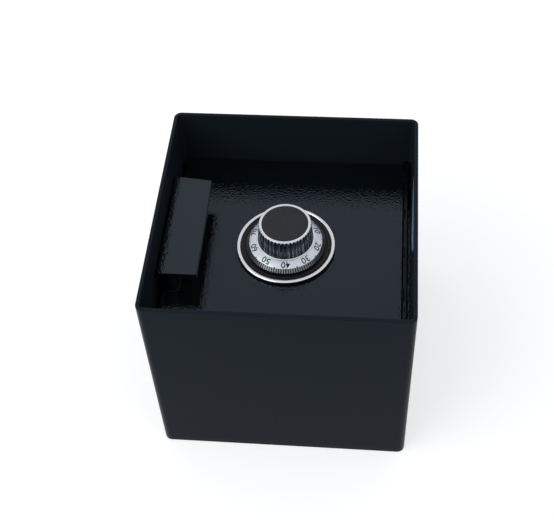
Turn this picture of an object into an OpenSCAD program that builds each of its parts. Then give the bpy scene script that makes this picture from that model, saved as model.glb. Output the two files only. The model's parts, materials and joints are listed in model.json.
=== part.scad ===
// Top-opening square steel safe with a sunk, hinged door.
// A dial combination lock under the door draws two locking bolts; a bar handle lifts the door.
// Origin: middle of the underside. X to the hinge side, Y to the rear, Z up. Millimetres.
// The rest pose is the door shut with its bolts drawn back, so the door is free to lift.

/* [Body] */
// Width of the body across the latch and hinge sides
body_w = 229; // [215:1:260]
// Depth of the body from front to rear
body_d = 233; // [220:1:260]
// Height of the body from the underside to the rim
body_h = 210; // [200:1:320]
// Thickness of the four folded walls
wall_t = 3.5; // [2.5:0.5:5]
// Outer radius of the four upright corners
corner_r = 7; // [6:0.5:12]
// Thickness of the floor plate
floor_t = 4; // [3:0.5:8]
// Thickness of the loose mat on the floor
mat_t = 3; // [2:0.5:5]
// Gap between the mat and the walls
mat_gap = 1; // [0.5:0.5:3]

/* [Anchor holes] */
// Diameter of the four anchor holes in the floor plate
anchor_d = 12; // [8:0.5:16]
// Distance between the anchor holes from side to side
anchor_pitch_x = 130; // [100:1:150]
// Distance between the anchor holes from front to rear
anchor_pitch_y = 130; // [100:1:150]
// Diameter of the clearance holes for the anchor heads in the mat
anchor_head_d = 26; // [20:1:32]

/* [Door] */
// Depth of the door's top face below the rim
recess = 54; // [48:1:60]
// Thickness of the door plate
door_t = 10; // [9:0.5:14]
// Gap between the door and the wall on the latch side
latch_gap = 3.8; // [3.4:0.1:4.6]
// Gap between the door and the front and rear walls
end_gap = 4.5; // [3.5:0.1:6]
// Radius of the door's four corners
door_corner_r = 2; // [1:0.5:4]

/* [Hinge] */
// Diameter of the hinge rod along the door's edge
rod_d = 4.8; // [4:0.1:5.4]
// Gap between the hinge rod and the wall
rod_wall_gap = 2.2; // [1.8:0.1:3]
// Depth of the top of the hinge rod below the door's top face
rod_drop = 0.2; // [0.1:0.1:0.5]
// Radial clearance of the rod in its brackets
rod_clearance = 0.05; // [0.03:0.01:0.09]
// Thickness of metal round the rod in a bracket
bracket_wall = 1.6; // [1.2:0.1:2]
// Gap between a bracket and the end of the door
bracket_gap = 0.5; // [0.4:0.1:0.9]
// Length of each stitch weld between rod and door
stitch_l = 14; // [8:1:20]
// Number of stitch welds
stitch_count = 5; // [3:1:7]

/* [Door seat] */
// Thickness of the bars that the door sits on
seat_t = 6.5; // [5:0.5:8]
// Width of the latch side bar, which the locking bolts reach under
seat_latch_w = 9.5; // [9:0.1:10]
// Width of the hinge side bar
seat_hinge_w = 13; // [11:0.5:15]
// Width of the front and rear bars
seat_end_w = 11; // [9:0.5:14]
// Thickness of the dust seal on the bars
seal_t = 1.2; // [0.8:0.1:1.6]
// Distance of the seal from the edges of the bars and the door
seal_inset = 0.6; // [0.4:0.1:1]
// Gap between the seal and the shut door
seal_gap = 0.3; // [0.3:0.1:0.5]

/* [Handle] */
// Width of the handle's flat bar
bar_w = 34.5; // [28:0.5:38]
// Length of the handle's flat bar, along its longer side
bar_l = 115; // [95:1:125]
// Thickness of the handle's flat bar
bar_t = 6.5; // [5:0.5:8]
// Height of the bar's top face above the door
bar_top = 26.5; // [23:0.5:30]
// How far the bar's rear end is cut out of square
bar_skew = 3.5; // [0:0.5:4]
// Corner radius of the bar seen from above
bar_corner_r = 1.5; // [1:0.5:3]
// Distance that the bar reaches past the door's latch side edge
bar_over = 1.3; // [0:0.1:2]
// Width of the two flat posts under the bar
post_w = 12; // [11:0.5:16]
// Length of a post along the bar
post_l = 24; // [16:1:30]
// Corner radius of a post seen from above
post_corner_r = 5; // [1:0.5:5]
// Distance of the posts from the door's latch side edge
post_edge = 2; // [1:0.1:4]
// Distance of a post from the end of the bar
post_inset = 0.3; // [0.3:0.1:3]
// Size of the weld fillet at the foot of a post
weld_leg = 2.4; // [1.5:0.1:3]
// Width that is left at the top of a weld fillet
weld_land = 0.4; // [0.2:0.1:0.8]

/* [Dial ring] */
// Distance of the dial's and the handle's middle behind the middle of the door
works_y = 1.5; // [0:0.5:3]
// Outer diameter of the dial ring
ring_d = 89.6; // [86:0.1:92]
// Thickness of the ring's floor
ring_floor_t = 2.5; // [2.2:0.1:2.6]
// Height of the ring's flat rim above the door
ring_h = 3; // [2.9:0.1:3.4]
// Width of the ring's flat rim inside the bright bezel
ring_rim_w = 3.6; // [3:0.1:3.9]
// Width of the bright bezel
bezel_w = 3.6; // [3:0.1:4]
// Height of the bezel's crest above the ring's flat rim
bezel_h = 1.4; // [1.2:0.1:1.8]
// Depth of the index line cut in the ring's rim
index_depth = 0.3; // [0.2:0.1:0.5]
// Width of the index mark
index_w = 0.8; // [0.6:0.1:1.2]
// Diameter of the two ring screws
ring_screw_d = 4; // [3:0.5:5]
// Distance of a ring screw from the dial's axis
ring_screw_at = 24; // [20:1:28]

/* [Dial] */
// Outer diameter of the dial
dial_d = 71.6; // [70:0.1:73]
// Height of the dial's outer edge above the door
dial_edge_z = 5.5; // [5.3:0.1:6]
// Thickness of the dial's outer edge
dial_edge_t = 0.8; // [0.6:0.1:1]
// Diameter where the steep tick band meets the number band
band_d = 66.1; // [65:0.1:67.5]
// Height of that meeting line above the door
band_z = 8.4; // [8:0.1:9.5]
// Diameter of the number band's inner edge
flange_d = 52.8; // [52:0.1:56]
// Height of the number band's inner edge above the door
flange_z = 12; // [11.6:0.1:12.6]
// Wall thickness of the dial's dish
dial_wall = 2; // [1.5:0.1:2.5]

/* [Knob] */
// Diameter of the knob at its base
knob_base_d = 50.2; // [48:0.1:51]
// Diameter of the knob at its top
knob_top_d = 46.8; // [44:0.1:48]
// Height of the knob's top above the door
knob_top_z = 31.9; // [28:0.1:34]
// Height of the plain ring at the knob's base
knob_foot_h = 1; // [1:0.1:3]
// Length of the spindle's end held in the knob
spindle_bite = 4; // [3:0.5:5]
// Height of the plain rim at the knob's top
knob_rim_h = 1.8; // [1.2:0.1:2.5]
// Number of flutes round the knob
flute_count = 44; // [36:1:50]
// Radius of a flute
flute_r = 1.25; // [1:0.05:1.4]
// Depth of a flute
flute_depth = 0.8; // [0.5:0.1:1]
// Diameter of the dark disc in the knob's top
insert_d = 41.6; // [38:0.1:42]
// Thickness of the dark disc
insert_t = 1.5; // [1:0.1:2]
// Depth of the disc's face below the knob's rim
insert_drop = 0.3; // [0.2:0.1:0.6]

/* [Lock case] */
// Thickness of the hard plate between door and lock
hard_t = 3; // [2:0.5:4]
// Distance that the hard plate reaches past the lock case
hard_margin = 6; // [3:0.5:9]
// Height of the lock from the hard plate to the outside of its cover
lock_h = 26; // [26:0.5:28]
// Thickness of the lock case's walls
case_wall = 2.4; // [2:0.1:2.8]
// Thickness of the lock's cover
lock_cover_t = 3; // [2:0.5:3]
// Reach of the case from the dial's axis towards the latch side
case_latch = 46; // [46:0.5:50]
// Reach of the case from the dial's axis towards the hinge side
case_hinge = 26; // [25:0.5:30]
// Reach of the case from the dial's axis to the front
case_front = 26; // [25:0.5:30]
// Reach of the case from the dial's axis to the rear
case_rear = 34; // [34:0.5:38]
// Diameter of the three screws that hold the lock
lock_screw_d = 5; // [4:0.5:5]
// Distance of a lock screw from the outside of the case
lock_screw_inset = 6; // [5.5:0.1:6.5]
// Depth of a lock screw in the door
lock_screw_bite = 6; // [4:0.5:7]

/* [Wheel pack] */
// Diameter of the three combination wheels
wheel_d = 40; // [38:0.5:41]
// Thickness of a wheel
wheel_t = 2.4; // [2:0.1:2.6]
// Gap between two wheels
wheel_gap = 1.8; // [1.6:0.1:2]
// Diameter of the post that the wheels turn on
wheel_post_d = 12; // [10:0.5:14]
// Radial clearance of a wheel on its post
wheel_clearance = 0.05; // [0.03:0.01:0.09]
// Clearance between a wheel and a spacer
spacer_gap = 0.1; // [0.05:0.01:0.2]
// Width of the ring left round a wheel's bore by a spacer
spacer_w = 3; // [2:0.5:4]
// Depth of the gate in a wheel
gate_depth = 4.2; // [4:0.1:4.6]
// Clearance of the fence in a gate, each side
gate_clearance = 0.7; // [0.5:0.1:1]
// Height of a fly or lug on a wheel
fly_h = 1; // [0.95:0.01:1.05]
// Distance of a fly or lug from the dial's axis
fly_at = 13; // [12:0.5:14]

/* [Drive cam] */
// Diameter of the drive cam
cam_d = 38; // [36:0.5:39]
// Thickness of the drive cam
cam_t = 5; // [4.6:0.1:5.4]
// Clearance between the cam and the case
cam_gap = 0.7; // [0.5:0.1:1]
// Diameter of the spindle
spindle_d = 8; // [7:0.5:9]
// Radial clearance of the spindle in its tube
spindle_clearance = 0.05; // [0.03:0.01:0.09]
// Wall thickness of the spindle's tube
tube_wall = 1.45; // [1.2:0.05:2]
// Width of the spline key between spindle and cam
key_w = 2; // [1.5:0.1:2.5]

/* [Lever] */
// Thickness of the lever
lever_t = 3.6; // [3.2:0.1:4]
// Width of the lever's fence and nose
fence_w = 3; // [2.5:0.1:3.4]
// Gap between the lifted fence and the wheels, and the lifted nose and the cam
lift_gap = 1; // [0.9:0.1:1.2]
// Distance of the lever's pivot from the dial's axis towards the latch side
pivot_x = 28; // [27.5:0.1:28.2]
// Distance of the lever's pivot from the dial's axis to the rear
pivot_y = 16; // [15:0.1:16.5]
// Diameter of the lever's pivot screw
pivot_d = 5; // [4:0.5:5]
// Radial clearance of the lever on its pivot
pivot_clearance = 0.05; // [0.03:0.01:0.09]
// Radius of the lever's eye
eye_r = 5.3; // [4.8:0.1:5.4]
// Width of the lever's arm
arm_w = 4.2; // [3.6:0.1:4.6]
// Thickness of the lever's leaf spring
leaf_t = 0.6; // [0.4:0.1:0.8]

/* [Bolt work] */
// Travel of the locking bolts
bolt_throw = 9.5; // [8:0.1:9.8]
// Width of the lock's own bolt
lock_bolt_w = 25; // [20:0.5:25]
// Height of the lock's own bolt
lock_bolt_h = 9.6; // [9:0.1:10]
// Sliding clearance round the lock's bolt in its slot
slide_gap = 0.25; // [0.2:0.05:0.4]
// Reach of the lock's bolt out of its case when drawn back
bolt_reach = 3; // [2:0.5:5]
// Diameter of the two locking bolts
pin_d = 14; // [12:0.5:14]
// Distance of each locking bolt from the lock's middle
pin_at = 48; // [42:1:60]
// Clearance between a drawn bolt's tip and the seat bar
tip_gap = 2.5; // [2.4:0.1:3]
// Thickness of the bar that joins the bolts
tie_t = 6; // [5:0.5:8]
// Length of the bar past the locking bolts
tie_overhang = 12; // [9:1:16]
// Diameter of the tie bar's two screws
tie_screw_d = 4; // [3:0.5:5]
// Length of a tie bar screw in the lock's bolt
tie_screw_bite = 8; // [6:0.5:9]
// Height of a tie bar screw's head
tie_head_h = 2.5; // [2:0.1:3]
// Length of the chamfer on a locking bolt's tip
tip_bevel = 1.5; // [0.5:0.1:2]
// Length of a bolt guide along its bore
guide_l = 8; // [6:0.5:12]
// Thickness of metal beside the bore of a bolt guide
guide_wall = 4; // [3:0.5:6]
// Radial clearance of a locking bolt in its guide
guide_clearance = 0.06; // [0.04:0.01:0.09]

/* [Inner cover] */
// Thickness of the folded inner cover
cover_t = 1.2; // [1:0.1:1.6]
// Depth of the inner cover below the door
cover_h = 32; // [32:0.5:34]
// Distance of the cover's latch side from the seat bar
cover_latch_gap = 5.5; // [5:0.1:6]
// Distance of the cover's other sides from the seat bars
cover_side_gap = 9; // [8:0.5:14]
// Clearance round the locking bolts in the cover's side
cover_hole_gap = 1; // [0.5:0.1:1.5]
// Diameter of the four standoffs
standoff_d = 10; // [8:0.5:12]
// Distance of a standoff from the cover's inner sides
standoff_inset = 8; // [7:0.5:12]
// Diameter of the cover's screws and the standoffs' studs
cover_screw_d = 4; // [3:0.5:5]
// Length of a cover screw past the cover
cover_screw_l = 8; // [6:0.5:12]
// Diameter of the cover screws' heads
cover_head_d = 8; // [7:0.5:9]
// Height of the cover screws' heads
cover_head_h = 2.4; // [2:0.1:3]

/* [Hidden] */

$fn = 96;
// Extra length by which a cutting shape passes the surface that it cuts
cut = 1;
// Depth of a blind hole past the end of its screw
blind_rest = 1;
// Screwdriver slots in screw heads
driver_w = 0.9;
driver_depth = 0.7;
black = "#23282e";
bright = "#d5d8dc";
steel = "#8f9296";
zinc = "#a9adb0";
brass = "#c2a24e";

// Places in the body
inner_x = body_w / 2 - wall_t;
inner_y = body_d / 2 - wall_t;
inner_r = corner_r - wall_t;
door_top = body_h - recess;
door_bottom = door_top - door_t;

// Places on the hinge axis and the door's outline
rod_r = rod_d / 2;
rod_x = inner_x - rod_wall_gap - rod_r;
rod_z = door_top - rod_drop - rod_r;
door_left = latch_gap - inner_x;
door_right = rod_x - rod_r;
door_y = inner_y - end_gap;

// Places on the seat
seat_top = door_bottom - seal_gap - seal_t;
seat_bottom = seat_top - seat_t;
seat_left = seat_latch_w - inner_x;
seat_right = inner_x - seat_hinge_w;
seat_y = inner_y - seat_end_w;

// Places of the handle
bar_left = door_left - bar_over;
bar_front = works_y - bar_l / 2;
bar_under = door_top + bar_top - bar_t;
bar_rear = bar_front + bar_l;
post_left = door_left + post_edge;
post_front_y = bar_front + post_inset;
post_rear_y = bar_rear - bar_skew / 2 - post_inset - post_l;

// Places on the dial's axis
axis_x = (door_left + door_right) / 2;
axis_y = works_y;
spindle_r = spindle_d / 2;
tube_in_r = spindle_r + spindle_clearance;
tube_r = tube_in_r + tube_wall;
bezel_in_r = ring_d / 2 - bezel_w;
rim_in_r = bezel_in_r - ring_rim_w;
knob_z = door_top + flange_z;

// Steps that seat the bright ring on the dial ring's edge
bezel_lap = 0.4;
ring_body_r = ring_d / 2 - bezel_lap;

// Heights in the lock, from the hard plate down
lock_top = door_bottom - hard_t;
lock_bottom = lock_top - lock_h;
lock_floor = lock_bottom + lock_cover_t;
case_roof = lock_top - case_wall;
cam_top = case_roof - cam_gap;
cam_bottom = cam_top - cam_t;
wheel_r = wheel_d / 2;
cam_r = cam_d / 2;
wheel_post_r = wheel_post_d / 2;
wheel_pitch = wheel_t + wheel_gap;
fly_w = 2.5;
fly_l = 4;
fly_turn = 45;
lug_start = 200;
lug_step = 15;
clip_t = 0.6;
clip_w = 2;
function wheel_z(number) = cam_bottom - (4 - number) * wheel_pitch;

// Places of the lock's bolt and lever, seen from the dial's axis
float_gap = 0.3;
bolt_top = cam_bottom - float_gap;
bolt_bottom = bolt_top - lock_bolt_h;
pin_z = (bolt_top + bolt_bottom) / 2;
lever_low = bolt_top + float_gap;
pivot_head_low = lever_low + lever_t + 0.1;
pivot_head_w = 1.7;
pivot_head_h = 1.4;
bolt_outer = -case_latch - bolt_reach;
bolt_inner = -wheel_r - 2.5;
ear_front = lock_bolt_w / 2;
ear_left = -case_latch + case_wall + bolt_throw + 0.5;
ear_rear = pivot_y + 6;
arm_y = wheel_r + 4.4;
leaf_y = arm_y + arm_w + 0.4;
leaf_left = ear_left + 0.6;

// Places of the bolt work
tie_right = axis_x + bolt_outer;
tie_left = tie_right - tie_t;
pin_tip = seat_left + tip_gap;
pin_r = pin_d / 2;
cover_left = seat_left + cover_latch_gap;
cover_right = seat_right - cover_side_gap;
cover_y = seat_y - cover_side_gap;
cover_bottom = door_bottom - cover_h;
guide_left = cover_left + cover_t + 1;
standoff_x = [cover_left + cover_t + standoff_inset, cover_right - cover_t - standoff_inset];
standoff_y = cover_y - cover_t - standoff_inset;

// Outline of a rectangle with round corners, from its low corner to its high corner
module round_rect(low, high, r) {
    size = high - low;
    translate([low.x + r, low.y]) square([size.x - 2 * r, size.y]);
    translate([low.x, low.y + r]) square([size.x, size.y - 2 * r]);
    for (x = [low.x + r, high.x - r], y = [low.y + r, high.y - r])
        translate([x, y]) circle(r);
}

// Box between two corners
module box(low, high) {
    translate(low) cube(high - low);
}

// Cylinder between two heights on an upright axis
module rod_up(x, y, z0, z1, r) {
    translate([x, y, z0]) cylinder(h = z1 - z0, r = r);
}

// Cylinder between two places on an axis along X
module rod_along_x(x0, x1, y, z, r) {
    translate([x0, y, z]) rotate([0, 90, 0]) cylinder(h = x1 - x0, r = r);
}

// Cylinder between two places on an axis along Y
module rod_along_y(y0, y1, x, z, r) {
    translate([x, y1, z]) rotate([90, 0, 0]) cylinder(h = y1 - y0, r = r);
}

// The space inside the walls between two heights, drawn in by a margin
module inside(z0, z1, margin = 0) {
    translate([0, 0, z0]) linear_extrude(z1 - z0)
        round_rect([margin - inner_x, margin - inner_y], [inner_x - margin, inner_y - margin], inner_r);
}

module at_dial_axis() {
    translate([axis_x, axis_y, 0]) children();
}

module each_anchor() {
    for (x = [-1, 1], y = [-1, 1])
        translate([x * anchor_pitch_x / 2, y * anchor_pitch_y / 2, 0]) children();
}

module each_standoff() {
    for (x = standoff_x, y = [-standoff_y, standoff_y])
        translate([x, y, 0]) children();
}

module each_lock_screw() {
    for (place = [[case_hinge, case_rear], [case_hinge, -case_front], [-case_latch, -case_front]])
        translate([
            axis_x + place.x - sign(place.x) * lock_screw_inset,
            axis_y + place.y - sign(place.y) * lock_screw_inset,
            0
        ]) children();
}

module body_shell() {
    color(black) difference() {
        linear_extrude(body_h)
            round_rect([-body_w / 2, -body_d / 2], [body_w / 2, body_d / 2], corner_r);
        inside(-cut, body_h + cut);
    }
}

module floor_plate() {
    color(black) difference() {
        inside(0, floor_t);
        each_anchor() rod_up(0, 0, -cut, floor_t + cut, anchor_d / 2);
    }
}

module floor_mat() {
    color("#3a3c3e") difference() {
        inside(floor_t, floor_t + mat_t, mat_gap);
        each_anchor() rod_up(0, 0, floor_t - cut, floor_t + mat_t + cut, anchor_head_d / 2);
    }
}

// One bar of the door seat, cut to the inside of the walls
module seat_bar(low, high) {
    color(black) intersection() {
        inside(seat_bottom, seat_top);
        box([low.x, low.y, seat_bottom - cut], [high.x, high.y, seat_top + cut]);
    }
}

module door_seal() {
    out_y = door_y - seal_inset;
    in_y = seat_y + seal_inset;
    color("#2c2c2c") difference() {
        box([door_left + seal_inset, -out_y, seat_top], [door_right - seal_inset, out_y, seat_top + seal_t]);
        box(
            [seat_left - seal_inset, -in_y, seat_top - cut],
            [seat_right + seal_inset, in_y, seat_top + seal_t + cut]
        );
    }
}

// A lug on the seat that holds one end of the hinge rod; side is -1 in front and 1 at the rear
module hinge_bracket(side) {
    near = door_y + bracket_gap;
    eye = rod_r + rod_clearance + bracket_wall;
    low = min(side * near, side * inner_y);
    high = max(side * near, side * inner_y);
    color(black) difference() {
        intersection() {
            union() {
                rod_along_y(low, high, rod_x, rod_z, eye);
                box([rod_x - eye, low, seat_top], [inner_x, high, rod_z]);
            }
            inside(seat_top, body_h);
        }
        rod_along_y(low - cut, high + cut, rod_x, rod_z, rod_r + rod_clearance);
    }
}

module door_plate() {
    color(black) difference() {
        translate([0, 0, door_bottom]) linear_extrude(door_t)
            round_rect([door_left, -door_y], [door_right, door_y], door_corner_r);
        at_dial_axis() rod_up(0, 0, door_bottom - cut, door_top + cut, tube_r);
        at_dial_axis() for (x = [-1, 1])
            rod_up(x * ring_screw_at, 0, door_top - door_t / 2, door_top + cut, ring_screw_d / 2);
        each_lock_screw()
            rod_up(0, 0, door_bottom - cut, door_bottom + lock_screw_bite, lock_screw_d / 2);
        each_standoff()
            rod_up(0, 0, door_bottom - cut, door_bottom + door_t / 2, cover_screw_d / 2);
    }
}

module hinge_rod() {
    end = inner_y - bracket_gap / 2;
    color(steel) rod_along_y(-end, end, rod_x, rod_z, rod_r);
}

// Short fillets in the groove between the hinge rod and the door's edge
module hinge_welds() {
    foot = rod_z + rod_r / 3;
    crest = door_top - rod_drop / 2;
    run = 2 * (door_y - stitch_l);
    color(black) difference() {
        for (i = [0 : stitch_count - 1])
            translate([door_right, i * run / (stitch_count - 1) - run / 2 - stitch_l / 2, foot])
                cube([rod_r * 0.8, stitch_l, crest - foot]);
        rod_along_y(-door_y, door_y, rod_x, rod_z, rod_r);
    }
}

// Flat bar with round corners, whose rear end runs a little askew
module handle_bar() {
    right = bar_left + bar_w;
    rear = bar_rear;
    r = bar_corner_r;
    rear_left = [bar_left + r, rear - r];
    rear_right = [right - r, rear - bar_skew - r];
    along = rear_right - rear_left;
    out = [-along.y, along.x] * r / norm(along);
    color(black) translate([0, 0, bar_under]) linear_extrude(bar_t) {
        polygon([
            [bar_left, bar_front + r],
            [bar_left + r, bar_front],
            [right - r, bar_front],
            [right, bar_front + r],
            [right, rear_right.y],
            rear_right + out,
            rear_left + out,
            [bar_left, rear_left.y]
        ]);
        for (x = [bar_left + r, right - r]) translate([x, bar_front + r]) circle(r);
        translate(rear_left) circle(r);
        translate(rear_right) circle(r);
    }
}

// Section of a post whose front end is at y, from one height to another
module post_section(y, z0, z1) {
    translate([0, 0, z0]) linear_extrude(z1 - z0)
        round_rect([post_left, y], [post_left + post_w, y + post_l], post_corner_r);
}

module handle_post(y) {
    color(black) post_section(y, door_top, bar_under);
}

// Outline of a weld's two flanks across a post of the given width
module weld_flanks(low, high) {
    polygon([
        [low - weld_leg, 0],
        [high + weld_leg, 0],
        [high + weld_land, weld_leg],
        [low - weld_land, weld_leg]
    ]);
}

// Weld fillet all round the foot of the post whose front end is at y
module foot_weld(y) {
    r = post_corner_r;
    right = post_left + post_w;
    rear = y + post_l;
    difference() {
        translate([0, 0, door_top]) {
            for (x = [post_left + r, right - r], corner_y = [y + r, rear - r])
                translate([x, corner_y, 0]) cylinder(h = weld_leg, r1 = r + weld_leg, r2 = r + weld_land);
            translate([0, rear - r, 0]) rotate([90, 0, 0])
                linear_extrude(post_l - 2 * r) weld_flanks(post_left, right);
            translate([post_left + r, 0, 0]) rotate([90, 0, 90])
                linear_extrude(post_w - 2 * r) weld_flanks(y, rear);
        }
        post_section(y, door_top - cut, door_top + weld_leg + cut);
    }
}

// Weld fillets round the feet of the posts, as far as the door reaches
module handle_welds() {
    color(black) intersection() {
        for (y = [post_front_y, post_rear_y]) foot_weld(y);
        box([door_left, -door_y, door_top], [0, door_y, door_top + weld_leg]);
    }
}

module dial_ring() {
    color("#1d1f22") at_dial_axis() translate([0, 0, door_top]) difference() {
        rotate_extrude() polygon([
            [tube_r, 0],
            [ring_body_r, 0],
            [ring_body_r, ring_h - bezel_lap],
            [bezel_in_r + bezel_lap, ring_h - bezel_lap],
            [bezel_in_r + bezel_lap, ring_h],
            [rim_in_r, ring_h],
            [rim_in_r - 0.4, ring_floor_t],
            [tube_r, ring_floor_t]
        ]);
        for (x = [-1, 1]) {
            rod_up(x * ring_screw_at, 0, -cut, ring_h, ring_screw_d / 2);
            translate([x * ring_screw_at, 0, ring_floor_t - ring_screw_d / 2])
                cylinder(h = ring_screw_d / 2, r1 = ring_screw_d / 2, r2 = ring_screw_d);
        }
        translate([-index_w / 2, rim_in_r - cut, ring_h - index_depth])
            cube([index_w, ring_rim_w + cut, cut]);
    }
}

// The bright half-round ring on the dial ring's outer edge
module ring_bezel() {
    r_mid = (ring_d / 2 + bezel_in_r) / 2;
    color(bright) at_dial_axis() translate([0, 0, door_top + ring_h]) rotate_extrude()
        intersection() {
            translate([r_mid, 0]) circle(bezel_w / 2);
            union() {
                translate([bezel_in_r, 0]) square([bezel_w, bezel_h]);
                translate([bezel_in_r + bezel_lap, -bezel_lap]) square([bezel_w, bezel_lap + bezel_h]);
            }
        }
}

module ring_screws() {
    sink = ring_screw_d / 2;
    color(steel) at_dial_axis() translate([0, 0, door_top]) for (x = [-1, 1])
        difference() {
            union() {
                rod_up(x * ring_screw_at, 0, -door_t / 2, ring_floor_t - sink, sink);
                translate([x * ring_screw_at, 0, ring_floor_t - sink])
                    cylinder(h = sink, r1 = sink, r2 = ring_screw_d);
            }
            translate([x * ring_screw_at - ring_screw_d, -driver_w / 2, ring_floor_t - driver_depth])
                cube([2 * ring_screw_d, driver_w, driver_depth + cut]);
        }
}

module spindle_tube() {
    color(brass) at_dial_axis() difference() {
        rod_up(0, 0, case_roof, door_top + ring_floor_t, tube_r);
        rod_up(0, 0, case_roof - cut, door_top + ring_h + cut, tube_in_r);
    }
}

module hard_plate() {
    color(steel) difference() {
        box(
            [axis_x - case_latch - hard_margin, axis_y - case_front - hard_margin, lock_top],
            [axis_x + case_hinge + hard_margin, axis_y + case_rear + hard_margin, door_bottom]
        );
        at_dial_axis() rod_up(0, 0, lock_top - cut, door_bottom + cut, tube_r);
        each_lock_screw() rod_up(0, 0, lock_top - cut, door_bottom + cut, lock_screw_d / 2);
    }
}

module lock_case() {
    w = case_wall;
    color(zinc) difference() {
        union() {
            at_dial_axis() difference() {
                box([-case_latch, -case_front, lock_floor], [case_hinge, case_rear, lock_top]);
                box(
                    [w - case_latch, w - case_front, lock_floor - cut],
                    [case_hinge - w, case_rear - w, case_roof]
                );
            }
            each_lock_screw() rod_up(0, 0, lock_floor, case_roof, lock_screw_d / 2 + 1);
        }
        at_dial_axis() {
            rod_up(0, 0, case_roof - cut, lock_top + cut, tube_r);
            box(
                [-case_latch - cut, -lock_bolt_w / 2 - slide_gap, bolt_bottom - slide_gap],
                [w - case_latch + cut, lock_bolt_w / 2 + slide_gap, bolt_top + slide_gap]
            );
        }
        each_lock_screw() rod_up(0, 0, lock_floor - cut, lock_top + cut, lock_screw_d / 2);
    }
}

module lock_cover() {
    color(zinc) difference() {
        at_dial_axis() box([-case_latch, -case_front, lock_bottom], [case_hinge, case_rear, lock_floor]);
        at_dial_axis() rod_up(0, 0, lock_bottom - cut, lock_floor + cut, wheel_post_r);
        each_lock_screw() {
            rod_up(0, 0, lock_bottom - cut, lock_floor + cut, lock_screw_d / 2);
            rod_up(0, 0, lock_bottom - cut, lock_bottom + lock_cover_t / 2, lock_screw_d / 2 + 1.5);
        }
    }
}

module lock_screws() {
    color(steel) each_lock_screw() difference() {
        union() {
            rod_up(0, 0, lock_bottom, door_bottom + lock_screw_bite, lock_screw_d / 2);
            rod_up(0, 0, lock_bottom, lock_bottom + lock_cover_t / 2, lock_screw_d / 2 + 1.5);
        }
        translate([-lock_screw_d, -driver_w / 2, lock_bottom - cut])
            cube([2 * lock_screw_d, driver_w, cut + driver_depth]);
    }
}

module wheel_post() {
    color(brass) at_dial_axis() difference() {
        rod_up(0, 0, lock_bottom, cam_bottom - clip_t, wheel_post_r);
        rod_up(0, 0, lock_bottom - cut, cam_bottom, wheel_post_r / 2);
    }
}

// Still rings on the post, under the first wheel and between the wheels
module wheel_spacers() {
    color(steel) at_dial_axis() for (number = [1 : 3]) {
        top = wheel_z(number) - spacer_gap;
        low = number == 1 ? lock_floor : top - wheel_gap + 2 * spacer_gap;
        difference() {
            rod_up(0, 0, low, top, wheel_post_r + spacer_w);
            rod_up(0, 0, low - cut, top + cut, wheel_post_r);
        }
    }
}

module post_clip() {
    low = wheel_z(3) + wheel_t + spacer_gap;
    color(steel) at_dial_axis() difference() {
        rod_up(0, 0, low, low + clip_t, wheel_post_r + clip_w);
        rod_up(0, 0, low - cut, low + cut, wheel_post_r);
        box([0, -clip_w, low - cut], [wheel_post_r + clip_w + cut, clip_w, low + cut]);
    }
}

// One combination wheel: gate towards the fence, and a lug on its upper face
module wheel(number) {
    low = wheel_z(number);
    color(brass) at_dial_axis() {
        difference() {
            rod_up(0, 0, low, low + wheel_t, wheel_r);
            rod_up(0, 0, low - cut, low + wheel_t + cut, wheel_post_r + wheel_clearance);
            box(
                [-gate_clearance, wheel_r - gate_depth, low - cut],
                [fence_w + gate_clearance, wheel_r + cut, low + wheel_t + cut]
            );
        }
        rotate([0, 0, lug_start + number * lug_step])
            translate([fly_at, -fly_w / 2, low + wheel_t / 2]) cube([fly_l, fly_w, wheel_t / 2 + fly_h]);
    }
}

// The fly on the lower face of a wheel, half a right angle from the lug that drives it
module fly(number) {
    top = wheel_z(number);
    color(steel) at_dial_axis() rotate([0, 0, lug_start + (number - 1) * lug_step + fly_turn])
        translate([fly_at, -fly_w / 2, top - fly_h]) cube([fly_l, fly_w, fly_h]);
}

module drive_cam() {
    color(brass) at_dial_axis() {
        difference() {
            rod_up(0, 0, cam_bottom, cam_top, cam_r);
            rod_up(0, 0, cam_bottom - cut, cam_top + cut, spindle_r);
            box([-gate_clearance, cam_r - gate_depth, cam_bottom - cut],
                [fence_w + gate_clearance, cam_r + cut, cam_top + cut]);
            box([spindle_r - key_w / 2, -key_w / 2, cam_bottom - cut],
                [spindle_r + key_w / 2, key_w / 2, cam_top + cut]);
        }
        rotate([0, 0, lug_start + 3 * lug_step + fly_turn])
            translate([fly_at, -fly_w / 2, cam_bottom - fly_h]) cube([fly_l, fly_w, fly_h + cam_t / 2]);
    }
}

module spindle() {
    color(steel) at_dial_axis() difference() {
        rod_up(0, 0, cam_bottom, knob_z + spindle_bite, spindle_r);
        box([spindle_r - key_w / 2, -key_w / 2, cam_bottom - cut],
            [spindle_r + key_w / 2, key_w / 2, cam_top]);
    }
}

module spline_key() {
    color(steel) at_dial_axis()
        box([spindle_r - key_w / 2, -key_w / 2, cam_bottom], [spindle_r + key_w / 2, key_w / 2, cam_top]);
}

// Dish with a steep tick band, a gently sloped number band and a hub on the spindle
module dial() {
    edge_low = dial_edge_z - dial_edge_t;
    hub_low = ring_floor_t + 1;
    hub_r = spindle_r + 4;
    color(bright) at_dial_axis() translate([0, 0, door_top]) rotate_extrude() polygon([
        [spindle_r, hub_low],
        [hub_r, hub_low],
        [hub_r, band_z - dial_wall],
        [band_d / 2 - dial_wall / 2, band_z - dial_wall],
        [dial_d / 2 - dial_wall, edge_low],
        [dial_d / 2, edge_low],
        [dial_d / 2, dial_edge_z],
        [band_d / 2, band_z],
        [flange_d / 2, flange_z],
        [spindle_r, flange_z]
    ]);
}

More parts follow.
